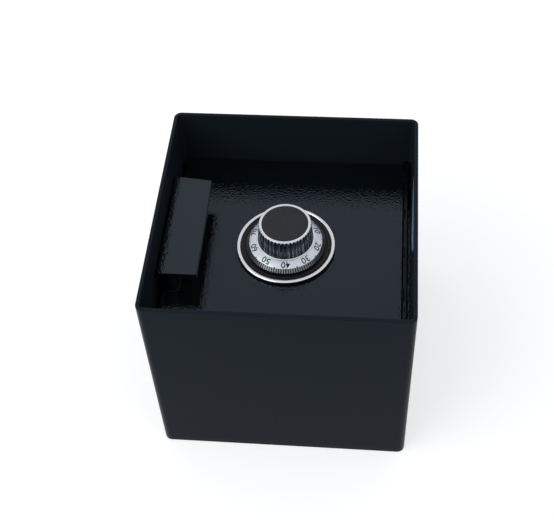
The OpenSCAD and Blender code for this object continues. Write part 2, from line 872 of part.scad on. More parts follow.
// Fluted knob with a plain foot and rim, open at the top for its disc
module dial_knob() {
    base_r = knob_base_d / 2;
    top_r = knob_top_d / 2;
    h = knob_top_z - flange_z;
    slope = atan((base_r - top_r) / (h - knob_foot_h));
    sink = insert_t + insert_drop;
    color(bright) at_dial_axis() translate([0, 0, knob_z]) difference() {
        rotate_extrude() polygon([
            [0, 0],
            [flange_d / 2 - 0.5, 0],
            [flange_d / 2 - 0.5, 0.6],
            [base_r, 0.9],
            [base_r, knob_foot_h],
            [top_r, h - 0.5],
            [top_r - 0.5, h],
            [insert_d / 2, h],
            [insert_d / 2, h - sink],
            [0, h - sink]
        ]);
        rod_up(0, 0, -cut, spindle_bite, spindle_r);
        for (i = [0 : flute_count - 1]) rotate([0, 0, i * 360 / flute_count])
            translate([base_r + flute_r - flute_depth, 0, knob_foot_h]) rotate([0, -slope, 0])
                cylinder(h = h - knob_foot_h - knob_rim_h, r = flute_r, $fn = 24);
    }
}

module knob_insert() {
    top = door_top + knob_top_z - insert_drop;
    color("#2a2c30") at_dial_axis() rod_up(0, 0, top - insert_t, top, insert_d / 2);
}

// The lock's own bolt, with an ear at its inner end for the lever
module lock_bolt() {
    color(brass) at_dial_axis() difference() {
        union() {
            box([bolt_outer, -lock_bolt_w / 2, bolt_bottom], [bolt_inner, lock_bolt_w / 2, bolt_top]);
            box([ear_left, 0, bolt_bottom], [bolt_inner, ear_rear, bolt_top]);
        }
        rod_up(-pivot_x, pivot_y, bolt_bottom - cut, bolt_top + cut, pivot_d / 2);
        for (y = [-1, 1])
            rod_along_x(bolt_outer - cut, bolt_outer + tie_screw_bite + blind_rest,
                y * lock_bolt_w / 3, pin_z, tie_screw_d / 2);
    }
}

module tie_bar() {
    reach = pin_at + tie_overhang;
    color(steel) difference() {
        box([tie_left, axis_y - reach, pin_z - pin_r], [tie_right, axis_y + reach, pin_z + pin_r]);
        for (side = [-1, 1]) {
            screw_y = axis_y + side * lock_bolt_w / 3;
            rod_along_x(tie_left - cut, tie_right + cut, screw_y, pin_z, tie_screw_d / 2);
            rod_along_x(tie_left - cut, tie_right + cut, axis_y + side * pin_at, pin_z, pin_r / 2);
        }
    }
}

module tie_screws() {
    color(steel) for (side = [-1, 1]) {
        y = axis_y + side * lock_bolt_w / 3;
        difference() {
            union() {
                rod_along_x(tie_left, tie_right + tie_screw_bite, y, pin_z, tie_screw_d / 2);
                rod_along_x(tie_left - tie_head_h, tie_left, y, pin_z, tie_screw_d);
            }
            rod_along_x(tie_left - tie_head_h - cut, tie_left - tie_head_h * 0.4, y, pin_z, tie_screw_d / 2);
        }
    }
}

// A locking bolt: round, with a chamfered tip and a shouldered tail riveted in the tie bar
module locking_bolt(side) {
    y = axis_y + side * pin_at;
    color(bright) {
        rod_along_x(pin_tip + tip_bevel, tie_left, y, pin_z, pin_r);
        translate([pin_tip, y, pin_z]) rotate([0, 90, 0])
            cylinder(h = tip_bevel, r1 = pin_r - tip_bevel, r2 = pin_r);
        rod_along_x(tie_left, tie_right, y, pin_z, pin_r / 2);
    }
}

// A block under the door with the bore that a locking bolt slides in
module bolt_guide(side) {
    y = axis_y + side * pin_at;
    half = pin_r + guide_wall;
    color(steel) difference() {
        box([guide_left, y - half, pin_z - half], [guide_left + guide_l, y + half, door_bottom]);
        rod_along_x(guide_left - cut, guide_left + guide_l + cut, y, pin_z, pin_r + guide_clearance);
    }
}

module lever_screw() {
    color(steel) at_dial_axis() {
        rod_up(-pivot_x, pivot_y, bolt_bottom, pivot_head_low, pivot_d / 2);
        rod_up(-pivot_x, pivot_y, pivot_head_low, pivot_head_low + pivot_head_h, pivot_d / 2 + pivot_head_w);
    }
}

// A bent leaf on the bolt's ear that presses on the back of the lever's arm
module lever_spring() {
    low = bolt_top;
    color(steel) at_dial_axis() {
        box([leaf_left, ear_rear - 2.4, low], [leaf_left + leaf_t, leaf_y + leaf_t, low + lever_t]);
        box([leaf_left + leaf_t, leaf_y, low + 0.5], [-8, leaf_y + leaf_t, low + lever_t]);
    }
}

// Eye on the pivot, arm over the wheels, nose over the cam and fence over the wheels
module lever() {
    low = lever_low;
    color(zinc) at_dial_axis() difference() {
        union() {
            rod_up(-pivot_x, pivot_y, low, low + lever_t, eye_r);
            translate([0, 0, low]) linear_extrude(lever_t) polygon([
                [eye_r / 3 - pivot_x, pivot_y - eye_r / 2],
                [-wheel_r / 2, arm_y],
                [fence_w, arm_y],
                [fence_w, arm_y + arm_w],
                [-wheel_r * 0.7, arm_y + arm_w],
                [-pivot_x - eye_r / 4, pivot_y + eye_r * 0.9]
            ]);
            box([0, cam_r + lift_gap, low], [fence_w, arm_y + cut, low + lever_t]);
            box([0, wheel_r + lift_gap, wheel_z(1) - float_gap], [fence_w, arm_y + arm_w, low + lever_t / 2]);
        }
        rod_up(-pivot_x, pivot_y, low - cut, low + lever_t + cut, pivot_d / 2 + pivot_clearance);
    }
}

module cover_standoffs() {
    color(steel) each_standoff() difference() {
        union() {
            rod_up(0, 0, cover_bottom + cover_t, door_bottom, standoff_d / 2);
            rod_up(0, 0, door_bottom, door_bottom + door_t / 2, cover_screw_d / 2);
        }
        rod_up(0, 0, cover_bottom, cover_bottom + cover_t + cover_screw_l + blind_rest, cover_screw_d / 2);
    }
}

// Folded tray that hides the lock and the bolt work
module inner_cover() {
    t = cover_t;
    color("#3b4046") difference() {
        box([cover_left, -cover_y, cover_bottom], [cover_right, cover_y, door_bottom]);
        box(
            [cover_left + t, t - cover_y, cover_bottom + t],
            [cover_right - t, cover_y - t, door_bottom + cut]
        );
        for (side = [-1, 1])
            rod_along_x(cover_left - cut, cover_left + t + cut,
                axis_y + side * pin_at, pin_z, pin_r + cover_hole_gap);
        each_standoff() rod_up(0, 0, cover_bottom - cut, cover_bottom + t + cut, cover_screw_d / 2);
    }
}

module cover_screws() {
    color(steel) each_standoff() difference() {
        union() {
            rod_up(0, 0, cover_bottom, cover_bottom + cover_t + cover_screw_l, cover_screw_d / 2);
            rod_up(0, 0, cover_bottom - cover_head_h, cover_bottom, cover_head_d / 2);
        }
        translate([-cover_head_d, -driver_w / 2, cover_bottom - cover_head_h - cut])
            cube([2 * cover_head_d, driver_w, cut + driver_depth]);
    }
}

body_shell();
floor_plate();
floor_mat();
seat_bar([-inner_x, -inner_y], [seat_left, inner_y]);  // seat_bar_latch
seat_bar([seat_right, -inner_y], [inner_x, inner_y]);  // seat_bar_hinge
seat_bar([seat_left, -inner_y], [seat_right, -seat_y]);  // seat_bar_front
seat_bar([seat_left, seat_y], [seat_right, inner_y]);  // seat_bar_rear
door_seal();
hinge_bracket(-1);  // hinge_bracket_front
hinge_bracket(1);  // hinge_bracket_rear
door_plate();
hinge_rod();
hinge_welds();
handle_bar();
handle_post(post_front_y);  // handle_post_front
handle_post(post_rear_y);  // handle_post_rear
handle_welds();
dial_ring();
ring_bezel();
ring_screws();
spindle_tube();
hard_plate();
lock_case();
lock_cover();
lock_screws();
wheel_post();
wheel_spacers();
post_clip();
bolt_guide(-1);  // bolt_guide_front
bolt_guide(1);  // bolt_guide_rear
cover_standoffs();
inner_cover();
cover_screws();
dial();
dial_knob();
knob_insert();
spindle();
spline_key();
drive_cam();
wheel(1);  // wheel_1
wheel(2);  // wheel_2
wheel(3);  // wheel_3
fly(1);  // fly_1
fly(2);  // fly_2
fly(3);  // fly_3
lock_bolt();
tie_bar();
tie_screws();
locking_bolt(-1);  // locking_bolt_front
locking_bolt(1);  // locking_bolt_rear
lever_screw();
lever_spring();
lever();
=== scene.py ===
"""Looks of the top-opening medication safe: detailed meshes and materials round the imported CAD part."""
import json
import math

import bmesh
import bpy
import numpy as np
from mathutils import Matrix, Vector, noise


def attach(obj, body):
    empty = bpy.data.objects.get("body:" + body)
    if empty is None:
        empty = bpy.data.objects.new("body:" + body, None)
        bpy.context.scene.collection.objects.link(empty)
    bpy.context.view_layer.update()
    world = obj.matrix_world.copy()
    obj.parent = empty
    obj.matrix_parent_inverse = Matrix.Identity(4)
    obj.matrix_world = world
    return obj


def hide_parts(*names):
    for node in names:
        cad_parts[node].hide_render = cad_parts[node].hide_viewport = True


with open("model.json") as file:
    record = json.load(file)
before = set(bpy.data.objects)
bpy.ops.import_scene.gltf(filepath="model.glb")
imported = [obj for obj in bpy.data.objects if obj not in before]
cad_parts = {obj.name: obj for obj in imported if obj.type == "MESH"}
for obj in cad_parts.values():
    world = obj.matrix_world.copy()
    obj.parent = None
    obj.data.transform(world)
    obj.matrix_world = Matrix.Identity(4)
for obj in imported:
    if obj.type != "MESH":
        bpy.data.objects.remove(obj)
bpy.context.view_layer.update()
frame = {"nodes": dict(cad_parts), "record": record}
nodes = frame["nodes"]
MM = 0.001

# Sizes of the part in millimetres, as in its source
BODY_W, BODY_D, BODY_H = 229.0, 233.0, 210.0
WALL_T, CORNER_R = 3.5, 7.0
INNER_X, INNER_Y = BODY_W / 2 - WALL_T, BODY_D / 2 - WALL_T
DOOR_TOP, DOOR_T = 156.0, 10.0
DOOR_LEFT, DOOR_RIGHT, DOOR_Y, DOOR_R = -107.2, 104.0, 108.5, 2.0
ROD_X, ROD_Z, ROD_R = 106.4, 153.4, 2.4
AXIS_X, AXIS_Y = -1.6, 1.5
AXIS_POINT = (AXIS_X * MM, AXIS_Y * MM, 0.0)
BAR_LOW, BAR_HIGH, BAR_SKEW = (-108.5, -56.0), (-74.0, 59.0), 3.5
BAR_UNDER, BAR_T, BAR_R = 176.0, 6.5, 1.5
POST_LEFT, POST_RIGHT, POST_L, POST_R = -105.2, -93.2, 24.0, 5.0
POSTS = {"front": -55.7, "rear": 32.95}
WELD_LEG = 2.4
STITCHES, STITCH_PITCH, STITCH_L = 5, 47.25, 14.0
BOLTS_Y, BOLT_Z, BOLT_HOLE_R = (-46.5, 49.5), 129.8, 8.0
ANCHORS, ANCHOR_HOLE_R = (-65.0, 65.0), 13.0
# Distance in stations from one ripple of a weld to the next
RIPPLE = 4.6


# ---------------------------------------------------------------- node materials
def add_node(tree, kind, inputs=None, **settings):
    """Adds a node to a tree, with its settings, and links or sets its inputs."""
    made = tree.nodes.new(kind)
    for key, value in settings.items():
        setattr(made, key, value)
    for key, value in (inputs or {}).items():
        if isinstance(value, bpy.types.NodeSocket):
            tree.links.new(value, made.inputs[key])
        else:
            made.inputs[key].default_value = value
    return made


class Tree:
    """Shorthand for building a material's node tree."""

    def __init__(self, name):
        self.material = bpy.data.materials.new(name)
        self.material.use_nodes = True
        self.links = self.material.node_tree.links
        self.shader = self.material.node_tree.nodes["Principled BSDF"]
        self.place = self.node("ShaderNodeTexCoord").outputs["Object"]

    def node(self, kind, inputs=None, **settings):
        return add_node(self.material.node_tree, kind, inputs, **settings)

    def noise(self, scale, detail=2.0, rough=0.5, stretch=None):
        where = self.place
        if stretch:
            where = self.node("ShaderNodeMapping", {"Vector": where, "Scale": stretch}).outputs["Vector"]
        return self.node("ShaderNodeTexNoise", {
            "Vector": where, "Scale": scale, "Detail": detail, "Roughness": rough}).outputs["Fac"]

    def from_axis(self):
        """Level vector from the dial's axis to the point."""
        shifted = self.node("ShaderNodeVectorMath", {0: self.place, 1: AXIS_POINT}, operation="SUBTRACT")
        return self.node("ShaderNodeVectorMath", {0: shifted.outputs[0], 1: (1.0, 1.0, 0.0)},
                         operation="MULTIPLY").outputs[0]

    def ramp(self, value, low, high, out_low=0.0, out_high=1.0):
        """value from low..high taken to out_low..out_high, clamped."""
        return self.node("ShaderNodeMapRange", {
            "Value": value, "From Min": low, "From Max": high, "To Min": out_low, "To Max": out_high,
        }).outputs["Result"]

    def mix(self, factor, a, b):
        """Colour between a and b."""
        return self.node("ShaderNodeMix", {"Factor": factor, 6: (*a, 1.0), 7: (*b, 1.0)},
                         data_type="RGBA").outputs[2]

    def product(self, a, b):
        return self.node("ShaderNodeMath", {0: a, 1: b}, operation="MULTIPLY").outputs[0]

    def bump(self, layers):
        """layers: (height socket, distance in metres), stacked."""
        normal = None
        for height, distance in layers:
            inputs = {"Height": height, "Distance": distance, "Strength": 1.0}
            if normal is not None:
                inputs["Normal"] = normal
            normal = self.node("ShaderNodeBump", inputs).outputs["Normal"]
        self.links.new(normal, self.shader.inputs["Normal"])

    def set(self, **values):
        """Links or sets the shader's sockets, an underscore standing for each space of a name."""
        for key, value in values.items():
            socket = self.shader.inputs[key.replace("_", " ")]
            if isinstance(value, bpy.types.NodeSocket):
                self.links.new(value, socket)
            elif isinstance(value, tuple):
                socket.default_value = (*value, 1.0)
            else:
                socket.default_value = value


def paint_material(name, peel=1.5e-4, gloss=(0.03, 0.05), level=0.355, dark=(0.0032, 0.0050, 0.0062),
                   light=(0.0065, 0.0085, 0.0105), **more):
    """Gloss black powder coat: orange peel, slow unevenness, faint dust in patches."""
    t = Tree(name)
    cells = t.node("ShaderNodeTexVoronoi", {"Vector": t.place, "Scale": PEEL_CELLS, "Smoothness": 0.35},
                   feature="SMOOTH_F1").outputs["Distance"]
    slow = t.noise(38.0, 2.0)
    dust = t.noise(900.0, 3.0, 0.6)
    patches = t.noise(14.0, 3.0, 0.6)
    specks = t.product(t.ramp(dust, 0.62, 0.72, 0.0, 0.5), t.ramp(patches, 0.42, 0.72))
    t.set(Base_Color=t.mix(specks, dark, light), Roughness=t.ramp(patches, 0.35, 0.7, *gloss), Metallic=0.0,
          IOR=1.5, Specular_IOR_Level=level, Specular_Tint=PAINT_TINT, **more)
    t.bump([(slow, 5e-5), (cells, peel)])
    return t.material


def chrome_material(name, tint=(0.62, 0.65, 0.69), rough=(0.07, 0.13)):
    """Plating with slightly dull patches and faint polishing lines."""
    t = Tree(name)
    wear = t.noise(120.0, 4.0, 0.6)
    lines = t.noise(700.0, 2.0, 0.5, stretch=(0.15, 0.15, 3.0))
    dull = tuple(c * 0.86 for c in tint)
    t.set(Base_Color=t.mix(t.ramp(wear, 0.45, 0.7, 0.0, 0.35), tint, dull), Metallic=1.0,
          Roughness=t.ramp(lines, 0.3, 0.7, *rough))
    t.bump([(wear, 1.2e-5)])
    return t.material


def turned_material(name, base, other, rough, rings=2600.0, depth=2.2e-6, metallic=1.0, **more):
    """Fine circular turning marks round the dial's axis."""
    t = Tree(name)
    radius = t.node("ShaderNodeVectorMath", {0: t.from_axis()}, operation="LENGTH").outputs["Value"]
    along = t.node("ShaderNodeCombineXYZ", {"X": radius}).outputs[0]
    marks = t.node("ShaderNodeTexNoise", {"Vector": along, "Scale": rings, "Detail": 2.0}).outputs["Fac"]
    stains = t.noise(90.0, 3.0, 0.6)
    t.set(Base_Color=t.mix(t.ramp(stains, 0.4, 0.7), base, other), Metallic=metallic,
          Roughness=t.ramp(marks, 0.3, 0.7, *rough), **more)
    t.bump([(stains, 6e-6), (marks, depth)])
    return t.material


def streaked_material(name, dark, light, rough, metallic=1.0):
    """Plating whose colour has upright light and dark streaks round the dial's axis, uneven from one to the
    next: painted reflection stripes.
    """
    t = Tree(name)
    heading = t.node("ShaderNodeVectorMath", {0: t.from_axis()}, operation="NORMALIZE").outputs[0]
    # Painted reflection: lighter and darker streaks by heading round the axis
    streak = t.node("ShaderNodeTexNoise", {"Vector": heading, "Scale": 9.0, "Detail": 2.0}).outputs["Fac"]
    wear = t.noise(160.0, 3.0, 0.6)
    t.set(Base_Color=t.mix(t.ramp(streak, 0.42, 0.6), dark, light), Metallic=metallic,
          Roughness=t.ramp(wear, 0.3, 0.7, *rough))
    t.bump([(wear, 3e-6)])
    return t.material


def grained_material(name, base, other, rough, metallic=0.0, grain=1500.0, depth=1.5e-5, **more):
    """Fine grain under cloudy patches of two colours."""
    t = Tree(name)
    fine = t.noise(grain, 3.0, 0.6)
    blotches = t.noise(60.0, 3.0, 0.55)
    t.set(Base_Color=t.mix(t.ramp(blotches, 0.35, 0.68), base, other), Metallic=metallic,
          Roughness=t.ramp(blotches, 0.3, 0.7, *rough), **more)
    t.bump([(blotches, depth), (fine, depth)])
    return t.material


def brushed_material(name, base, other, rough, stretch):
    """Metal with brush lines along the axis that stretch makes long."""
    t = Tree(name)
    lines = t.noise(900.0, 3.0, 0.6, stretch=stretch)
    stains = t.noise(45.0, 4.0, 0.6)
    t.set(Base_Color=t.mix(t.ramp(stains, 0.4, 0.75), base, other), Metallic=1.0,
          Roughness=t.ramp(lines, 0.3, 0.7, *rough))
    t.bump([(stains, 1e-5), (lines, 4e-6)])
    return t.material


# Cells of orange peel per metre, and the tint of the paint's reflections
PEEL_CELLS = 570.0
PAINT_TINT = (0.635, 0.79, 1.0)
WALL_GLOSS = (0.2, 0.28)

PAINT = paint_material("gloss_black_powder_coat")
SHELL_PAINT = paint_material("powder_coat_inside_walls", peel=5e-5, gloss=WALL_GLOSS, level=0.004,
                             dark=(0.0128, 0.0174, 0.0224), light=(0.0182, 0.0242, 0.0302))
OUTSIDE_PAINT = paint_material("powder_coat_outside_walls", peel=5e-5, gloss=WALL_GLOSS, level=0.033,
                               dark=(0.0122, 0.0167, 0.0216), light=(0.0174, 0.0232, 0.029))
BAR_PAINT = paint_material("gloss_black_powder_coat_on_bar", peel=9e-5, level=0.43)
# Painted light: a lighter copy of the bar's coat for its right-hand side, standing in for the light that side
# catches
BAR_LIT_SIDE_PAINT = paint_material("powder_coat_on_bar_side_painted_light", level=0.42, dark=(0.034, 0.044, 0.051),
                                light=(0.044, 0.055, 0.063))
ROD_PAINT = paint_material("powder_coat_on_rod", level=0.2, gloss=(0.12, 0.2))
WELD_PAINT = paint_material("powder_coat_over_welds", level=0.07, gloss=(0.2, 0.3))
CHROME = chrome_material("bright_chrome")
BEZEL_CHROME = chrome_material("bezel_chrome", tint=(0.63, 0.64, 0.67), rough=(0.2, 0.26))
# Painted shade: a darker copy of the knob's chrome for its flutes and the foot's lower edge, standing in for
# the dark surroundings they reflect
FLUTE_SHADE_CHROME = streaked_material("chrome_in_flutes_painted_shade", (0.045, 0.063, 0.077), (0.17, 0.215, 0.245), (0.14, 0.2))
# Painted highlights: lighter copies of the knob's chrome for its ridges and, half diffuse, for the band below
# its rim
RIDGE_HIGHLIGHT_CHROME = streaked_material("chrome_on_ridges_painted_highlight", (0.16, 0.2, 0.23), (0.5, 0.58, 0.64), (0.16, 0.24))
RIM_HIGHLIGHT_CHROME = streaked_material("chrome_below_rim_painted_highlight", (0.5, 0.52, 0.56), (0.86, 0.87, 0.9), (0.3, 0.4), 0.4)
# Painted highlight: a bluish sheen for a lens on the hinge side wall, standing in for a streak of reflected
# light
WALL_SHEEN_HIGHLIGHT_PAINT = paint_material("powder_coat_with_painted_sheen_highlight", peel=3e-5, gloss=(0.3, 0.4), level=0.2,
                              dark=(0.010, 0.0145, 0.018), light=(0.016, 0.021, 0.026),
                              Sheen_Weight=0.7, Sheen_Roughness=0.3, Sheen_Tint=(0.42, 0.75, 0.95))
COVER_PAINT = grained_material("grey_black_sheet_coat", (0.035, 0.041, 0.048), (0.05, 0.057, 0.065),
                               (0.35, 0.5), grain=1100.0, depth=3e-5)
DIAL_SATIN = turned_material("satin_dial_band", (0.65, 0.695, 0.755), (0.60, 0.64, 0.69), (0.3, 0.38),
                             metallic=0.55)
TICK_BAND = turned_material("tick_band", (0.26, 0.275, 0.295), (0.22, 0.235, 0.255), (0.3, 0.36),
                            metallic=0.85)
INK = grained_material("black_ink", (0.006, 0.007, 0.009), (0.012, 0.013, 0.015), (0.5, 0.65), depth=4e-6,
                       Specular_IOR_Level=0.12)
WHITE_INK = grained_material("white_ink", (0.78, 0.79, 0.8), (0.7, 0.71, 0.73), (0.45, 0.6), depth=4e-6)
PLASTIC = grained_material("satin_black_plastic", (0.0035, 0.0035, 0.0045), (0.006, 0.006, 0.0075),
                           (0.34, 0.46), grain=2600.0, depth=8e-6, Specular_IOR_Level=0.22)
INSERT = turned_material("grey_insert", (0.011, 0.0125, 0.017), (0.014, 0.0155, 0.02), (0.42, 0.55),
                         rings=1800.0, depth=3e-6, metallic=0.0, Specular_IOR_Level=0.25)
STEEL = brushed_material("zinc_plated_steel", (0.56, 0.57, 0.58), (0.47, 0.47, 0.47), (0.28, 0.42),
                         (0.1, 1.0, 1.0))
ZINC = grained_material("die_cast_zinc", (0.5, 0.51, 0.52), (0.42, 0.43, 0.44), (0.45, 0.6), 1.0, depth=3e-5)
BRASS = turned_material("turned_brass", (0.72, 0.55, 0.25), (0.62, 0.46, 0.2), (0.24, 0.36), rings=1800.0,
                        depth=4e-6)
RUBBER = grained_material("black_rubber", (0.03, 0.03, 0.032), (0.045, 0.045, 0.047), (0.75, 0.9),
                          grain=1100.0, depth=1.2e-4)

SLOT_MATERIAL = {
    "black_paint": PAINT, "chrome": CHROME, "dial_satin": DIAL_SATIN, "dark_plastic": PLASTIC,
    "plain_steel": STEEL, "zinc_casting": ZINC, "brass": BRASS, "rubber": RUBBER,
}
SLOT_OF = {row["node"]: row["material_slot"] for row in frame["record"]["subparts"]}
for node_name, node in nodes.items():
    node.data.materials.clear()
    node.data.materials.append(SLOT_MATERIAL[SLOT_OF[node_name]])


# ---------------------------------------------------------------- mesh helpers
def fill(mesh, verts, faces):
    """Faces in millimetres into an empty mesh, turned outwards."""
    mesh.from_pydata([tuple(c * MM for c in v) for v in verts], [], [tuple(int(i) for i in f) for f in faces])
    mesh.validate()
    bm = bmesh.new()
    bm.from_mesh(mesh)
    bmesh.ops.remove_doubles(bm, verts=bm.verts, dist=1e-6)
    bmesh.ops.recalc_face_normals(bm, faces=bm.faces)
    bm.to_mesh(mesh)
    bm.free()


def piece(name, verts, faces, materials, body, replaced=(), smooth=True, sharp_deg=35.0):
    """Makes a mesh object in millimetres, rides it on a body and hides the CAD parts it stands for."""
    mesh = bpy.data.meshes.new(name)
    fill(mesh, verts, faces)
    for m in materials if isinstance(materials, list) else [materials]:
        mesh.materials.append(m)
    obj = bpy.data.objects.new(name, mesh)
    bpy.context.scene.collection.objects.link(obj)
    if smooth:
        mesh.shade_smooth()
        mesh.set_sharp_from_angle(angle=math.radians(sharp_deg))
        weighted = obj.modifiers.new("weighted", "WEIGHTED_NORMAL")
        weighted.keep_sharp = True
    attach(obj, body)
    if replaced:
        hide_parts(*replaced)
    return obj


def quarter(parts):
    """Angles of a quarter turn in equal parts, in radians, both ends included."""
    return [math.radians(90 * i / parts) for i in range(parts + 1)]


def path_round(centres, r, step, arc):
    """Closed path at r round the given corner centres, counter-clockwise, with its outward normals.

    Straight runs have a point about every step mm, and each corner has arc parts.
    """
    points, normals, count = [], [], len(centres)

    def outward(i):
        (x0, y0), (x1, y1) = centres[i % count], centres[(i + 1) % count]
        return math.atan2(x0 - x1, y1 - y0)

    for i, (cx, cy) in enumerate(centres):
        start, turn = outward(i - 1), (outward(i) - outward(i - 1)) % (2 * math.pi)
        for k in range(arc + 1):
            a = start + turn * k / arc
            points.append((cx + r * math.cos(a), cy + r * math.sin(a)))
            normals.append((math.cos(a), math.sin(a)))
        n = normals[-1]
        nx, ny = centres[(i + 1) % count]
        p0, p1 = points[-1], (nx + r * n[0], ny + r * n[1])
        pieces = max(1, int(round(math.dist(p0, p1) / step)))
        for k in range(1, pieces):
            points.append((p0[0] + (p1[0] - p0[0]) * k / pieces, p0[1] + (p1[1] - p0[1]) * k / pieces))
            normals.append(n)
    return np.array(points), np.array(normals)


def round_path(low, high, r, step, arc=8):
    """Path round a rectangle with round corners."""
    return path_round([(high[0] - r, low[1] + r), (high[0] - r, high[1] - r), (low[0] + r, high[1] - r),
                       (low[0] + r, low[1] + r)], r, step, arc)


def grid_faces(rows, columns, wrap_rows=False):
    """Quads between rows of points, each row a closed ring; wrap_rows joins the last row to the first."""
    faces = []
    for i in range(rows if wrap_rows else rows - 1):
        a, b = i * columns, ((i + 1) % rows) * columns
        for j in range(columns):
            k = (j + 1) % columns
            faces.append((a + j, a + k, b + k, b + j))
    return faces


def end_caps(rows, columns):
    """One face over the first row of points and one over the last."""
    return [tuple(range(columns)), tuple(range((rows - 1) * columns, rows * columns))]


def swept(path, normals, profile, shape=None):
    """Vertices of a profile of (inset, z) swept along a closed path; shape moves a point if given."""
    verts = []
    for inset, z in profile:
        for (x, y), (nx, ny) in zip(path, normals):
            p = (x - nx * inset, y - ny * inset, z)
            verts.append(shape(p, (nx, ny)) if shape else p)
    return verts


def rounded_profile(points, radii, segments=5):
    """Polyline whose corners between its ends are rounded by the given radii."""
    out = [points[0]]
    for i in range(1, len(points) - 1):
        p, q, s = Vector(points[i - 1]), Vector(points[i]), Vector(points[i + 1])
        r = radii[i - 1]
        u, w = (p - q).normalized(), (s - q).normalized()
        angle = u.angle(w)
        if r <= 0 or angle > math.radians(178):
            out.append(tuple(q))
            continue
        cut = min(r / math.tan(angle / 2), (p - q).length * 0.49, (s - q).length * 0.49)
        r = cut * math.tan(angle / 2)
        centre = q + (u + w).normalized() * (r / math.sin(angle / 2))
        a, b = q + u * cut - centre, q + w * cut - centre
        turn = math.atan2(a.x * b.y - a.y * b.x, a.dot(b))
        for k in range(segments + 1):
            t = turn * k / segments
            out.append((centre.x + a.x * math.cos(t) - a.y * math.sin(t),
                        centre.y + a.x * math.sin(t) + a.y * math.cos(t)))
    out.append(points[-1])
    return out


def revolved(profile, segments, closed=True):
    """Vertices and faces of a profile of (radius, height above the door) turned round the dial's axis."""
    verts = []
    for r, z in profile:
        for k in range(segments):
            a = 2 * math.pi * k / segments
            verts.append((AXIS_X + r * math.cos(a), AXIS_Y + r * math.sin(a), DOOR_TOP + z))
    return verts, grid_faces(len(profile), segments, wrap_rows=closed)


# ---------------------------------------------------------------- body shell
def shell_shape(p, n):
    """Slow unevenness of folded and welded sheet, always inside the drawn box."""
    x, y, z = p
    deepest, wavelength, calm_foot = 0.12, 62.0, 20.0
    flat = 1.0 - min(1.0, abs(n[0] * n[1]) * 2.5)
    edge = min(1.0, max(0.0, z / calm_foot))
    d = flat * edge * deepest * (0.5 + 0.5 * noise.noise(Vector((x, y, z)) / wavelength))
    return (x - n[0] * d, y - n[1] * d, z)


def body_shell():
    """Walls with a softened rim; their inner faces take a paint of their own."""
    path, normals = round_path((-BODY_W / 2, -BODY_D / 2), (BODY_W / 2, BODY_D / 2), CORNER_R, 7.5, arc=10)
    rise = list(np.linspace(0.8, BODY_H - 1.3, 27))
    soft, foot = 1.0, 0.5
    profile = [(foot, 0.0)] + [(0.0, z) for z in rise]
    profile += [(soft - soft * math.cos(a), BODY_H - soft + soft * math.sin(a)) for a in quarter(5)]
    profile += [(WALL_T / 2, BODY_H)]
    profile += [(WALL_T - soft + soft * math.sin(a), BODY_H - soft + soft * math.cos(a)) for a in quarter(5)]
    profile += [(WALL_T, z) for z in rise[::-1]]
    profile += [(WALL_T - foot, 0.0)]
    verts = swept(path, normals, profile, shell_shape)
    shell = piece("body_shell_sheet", verts, grid_faces(len(profile), len(path), wrap_rows=True),
                  [SHELL_PAINT, OUTSIDE_PAINT], "safe_body", ["body_shell"])
    for polygon in shell.data.polygons:
        inward = polygon.normal.x * polygon.center.x + polygon.normal.y * polygon.center.y < 0
        if not (inward and abs(polygon.normal.z) < 0.5):
            polygon.material_index = 1


# ---------------------------------------------------------------- door and handle
def plate(name, outline, z0, z1, edge, material, replaced):
    """Painted solid plate of the given outline on the door, with softened edges."""
    path, normals = outline
    profile = [(edge, z0)]
    profile += [(edge - edge * math.sin(a), z0 + edge - edge * math.cos(a)) for a in quarter(4)[1:]]
    profile += [(edge - edge * math.cos(a), z1 - edge + edge * math.sin(a)) for a in quarter(4)]
    rows, count = len(profile), len(path)
    faces = grid_faces(rows, count) + end_caps(rows, count)
    return piece(name, swept(path, normals, profile), faces, material, "door", [replaced])


def door():
    """Door plate with round corners."""
    outline = round_path((DOOR_LEFT, -DOOR_Y), (DOOR_RIGHT, DOOR_Y), DOOR_R, 12.0, 6)
    plate("door_plate_coated", outline, DOOR_TOP - DOOR_T, DOOR_TOP, 0.9, PAINT, "door_plate")


def handle():
    """Bar with its askew rear end, on two flat posts with round corners."""
    (left, front), (right, rear), r = BAR_LOW, BAR_HIGH, BAR_R
    outline = path_round([(right - r, front + r), (right - r, rear - BAR_SKEW - r), (left + r, rear - r),
                          (left + r, front + r)], r, 8.0, 5)
    bar = plate("handle_bar_coated", outline, BAR_UNDER, BAR_UNDER + BAR_T, 0.6, [BAR_PAINT, BAR_LIT_SIDE_PAINT],
                "handle_bar")
    # The right-hand side takes the lighter copy of the coat, painted light
    for polygon in bar.data.polygons:
        if polygon.normal.x > 0.9:
            polygon.material_index = 1
    rows = 6
    for end, y in POSTS.items():
        path, normals = round_path((POST_LEFT, y), (POST_RIGHT, y + POST_L), POST_R, 4.0)
        profile = [(0.0, DOOR_TOP + (BAR_UNDER - DOOR_TOP) * i / (rows - 1)) for i in range(rows)]
        piece(f"handle_post_{end}_coated", swept(path, normals, profile),
              grid_faces(rows, len(path)) + end_caps(rows, len(path)), PAINT, "door", [f"handle_post_{end}"])


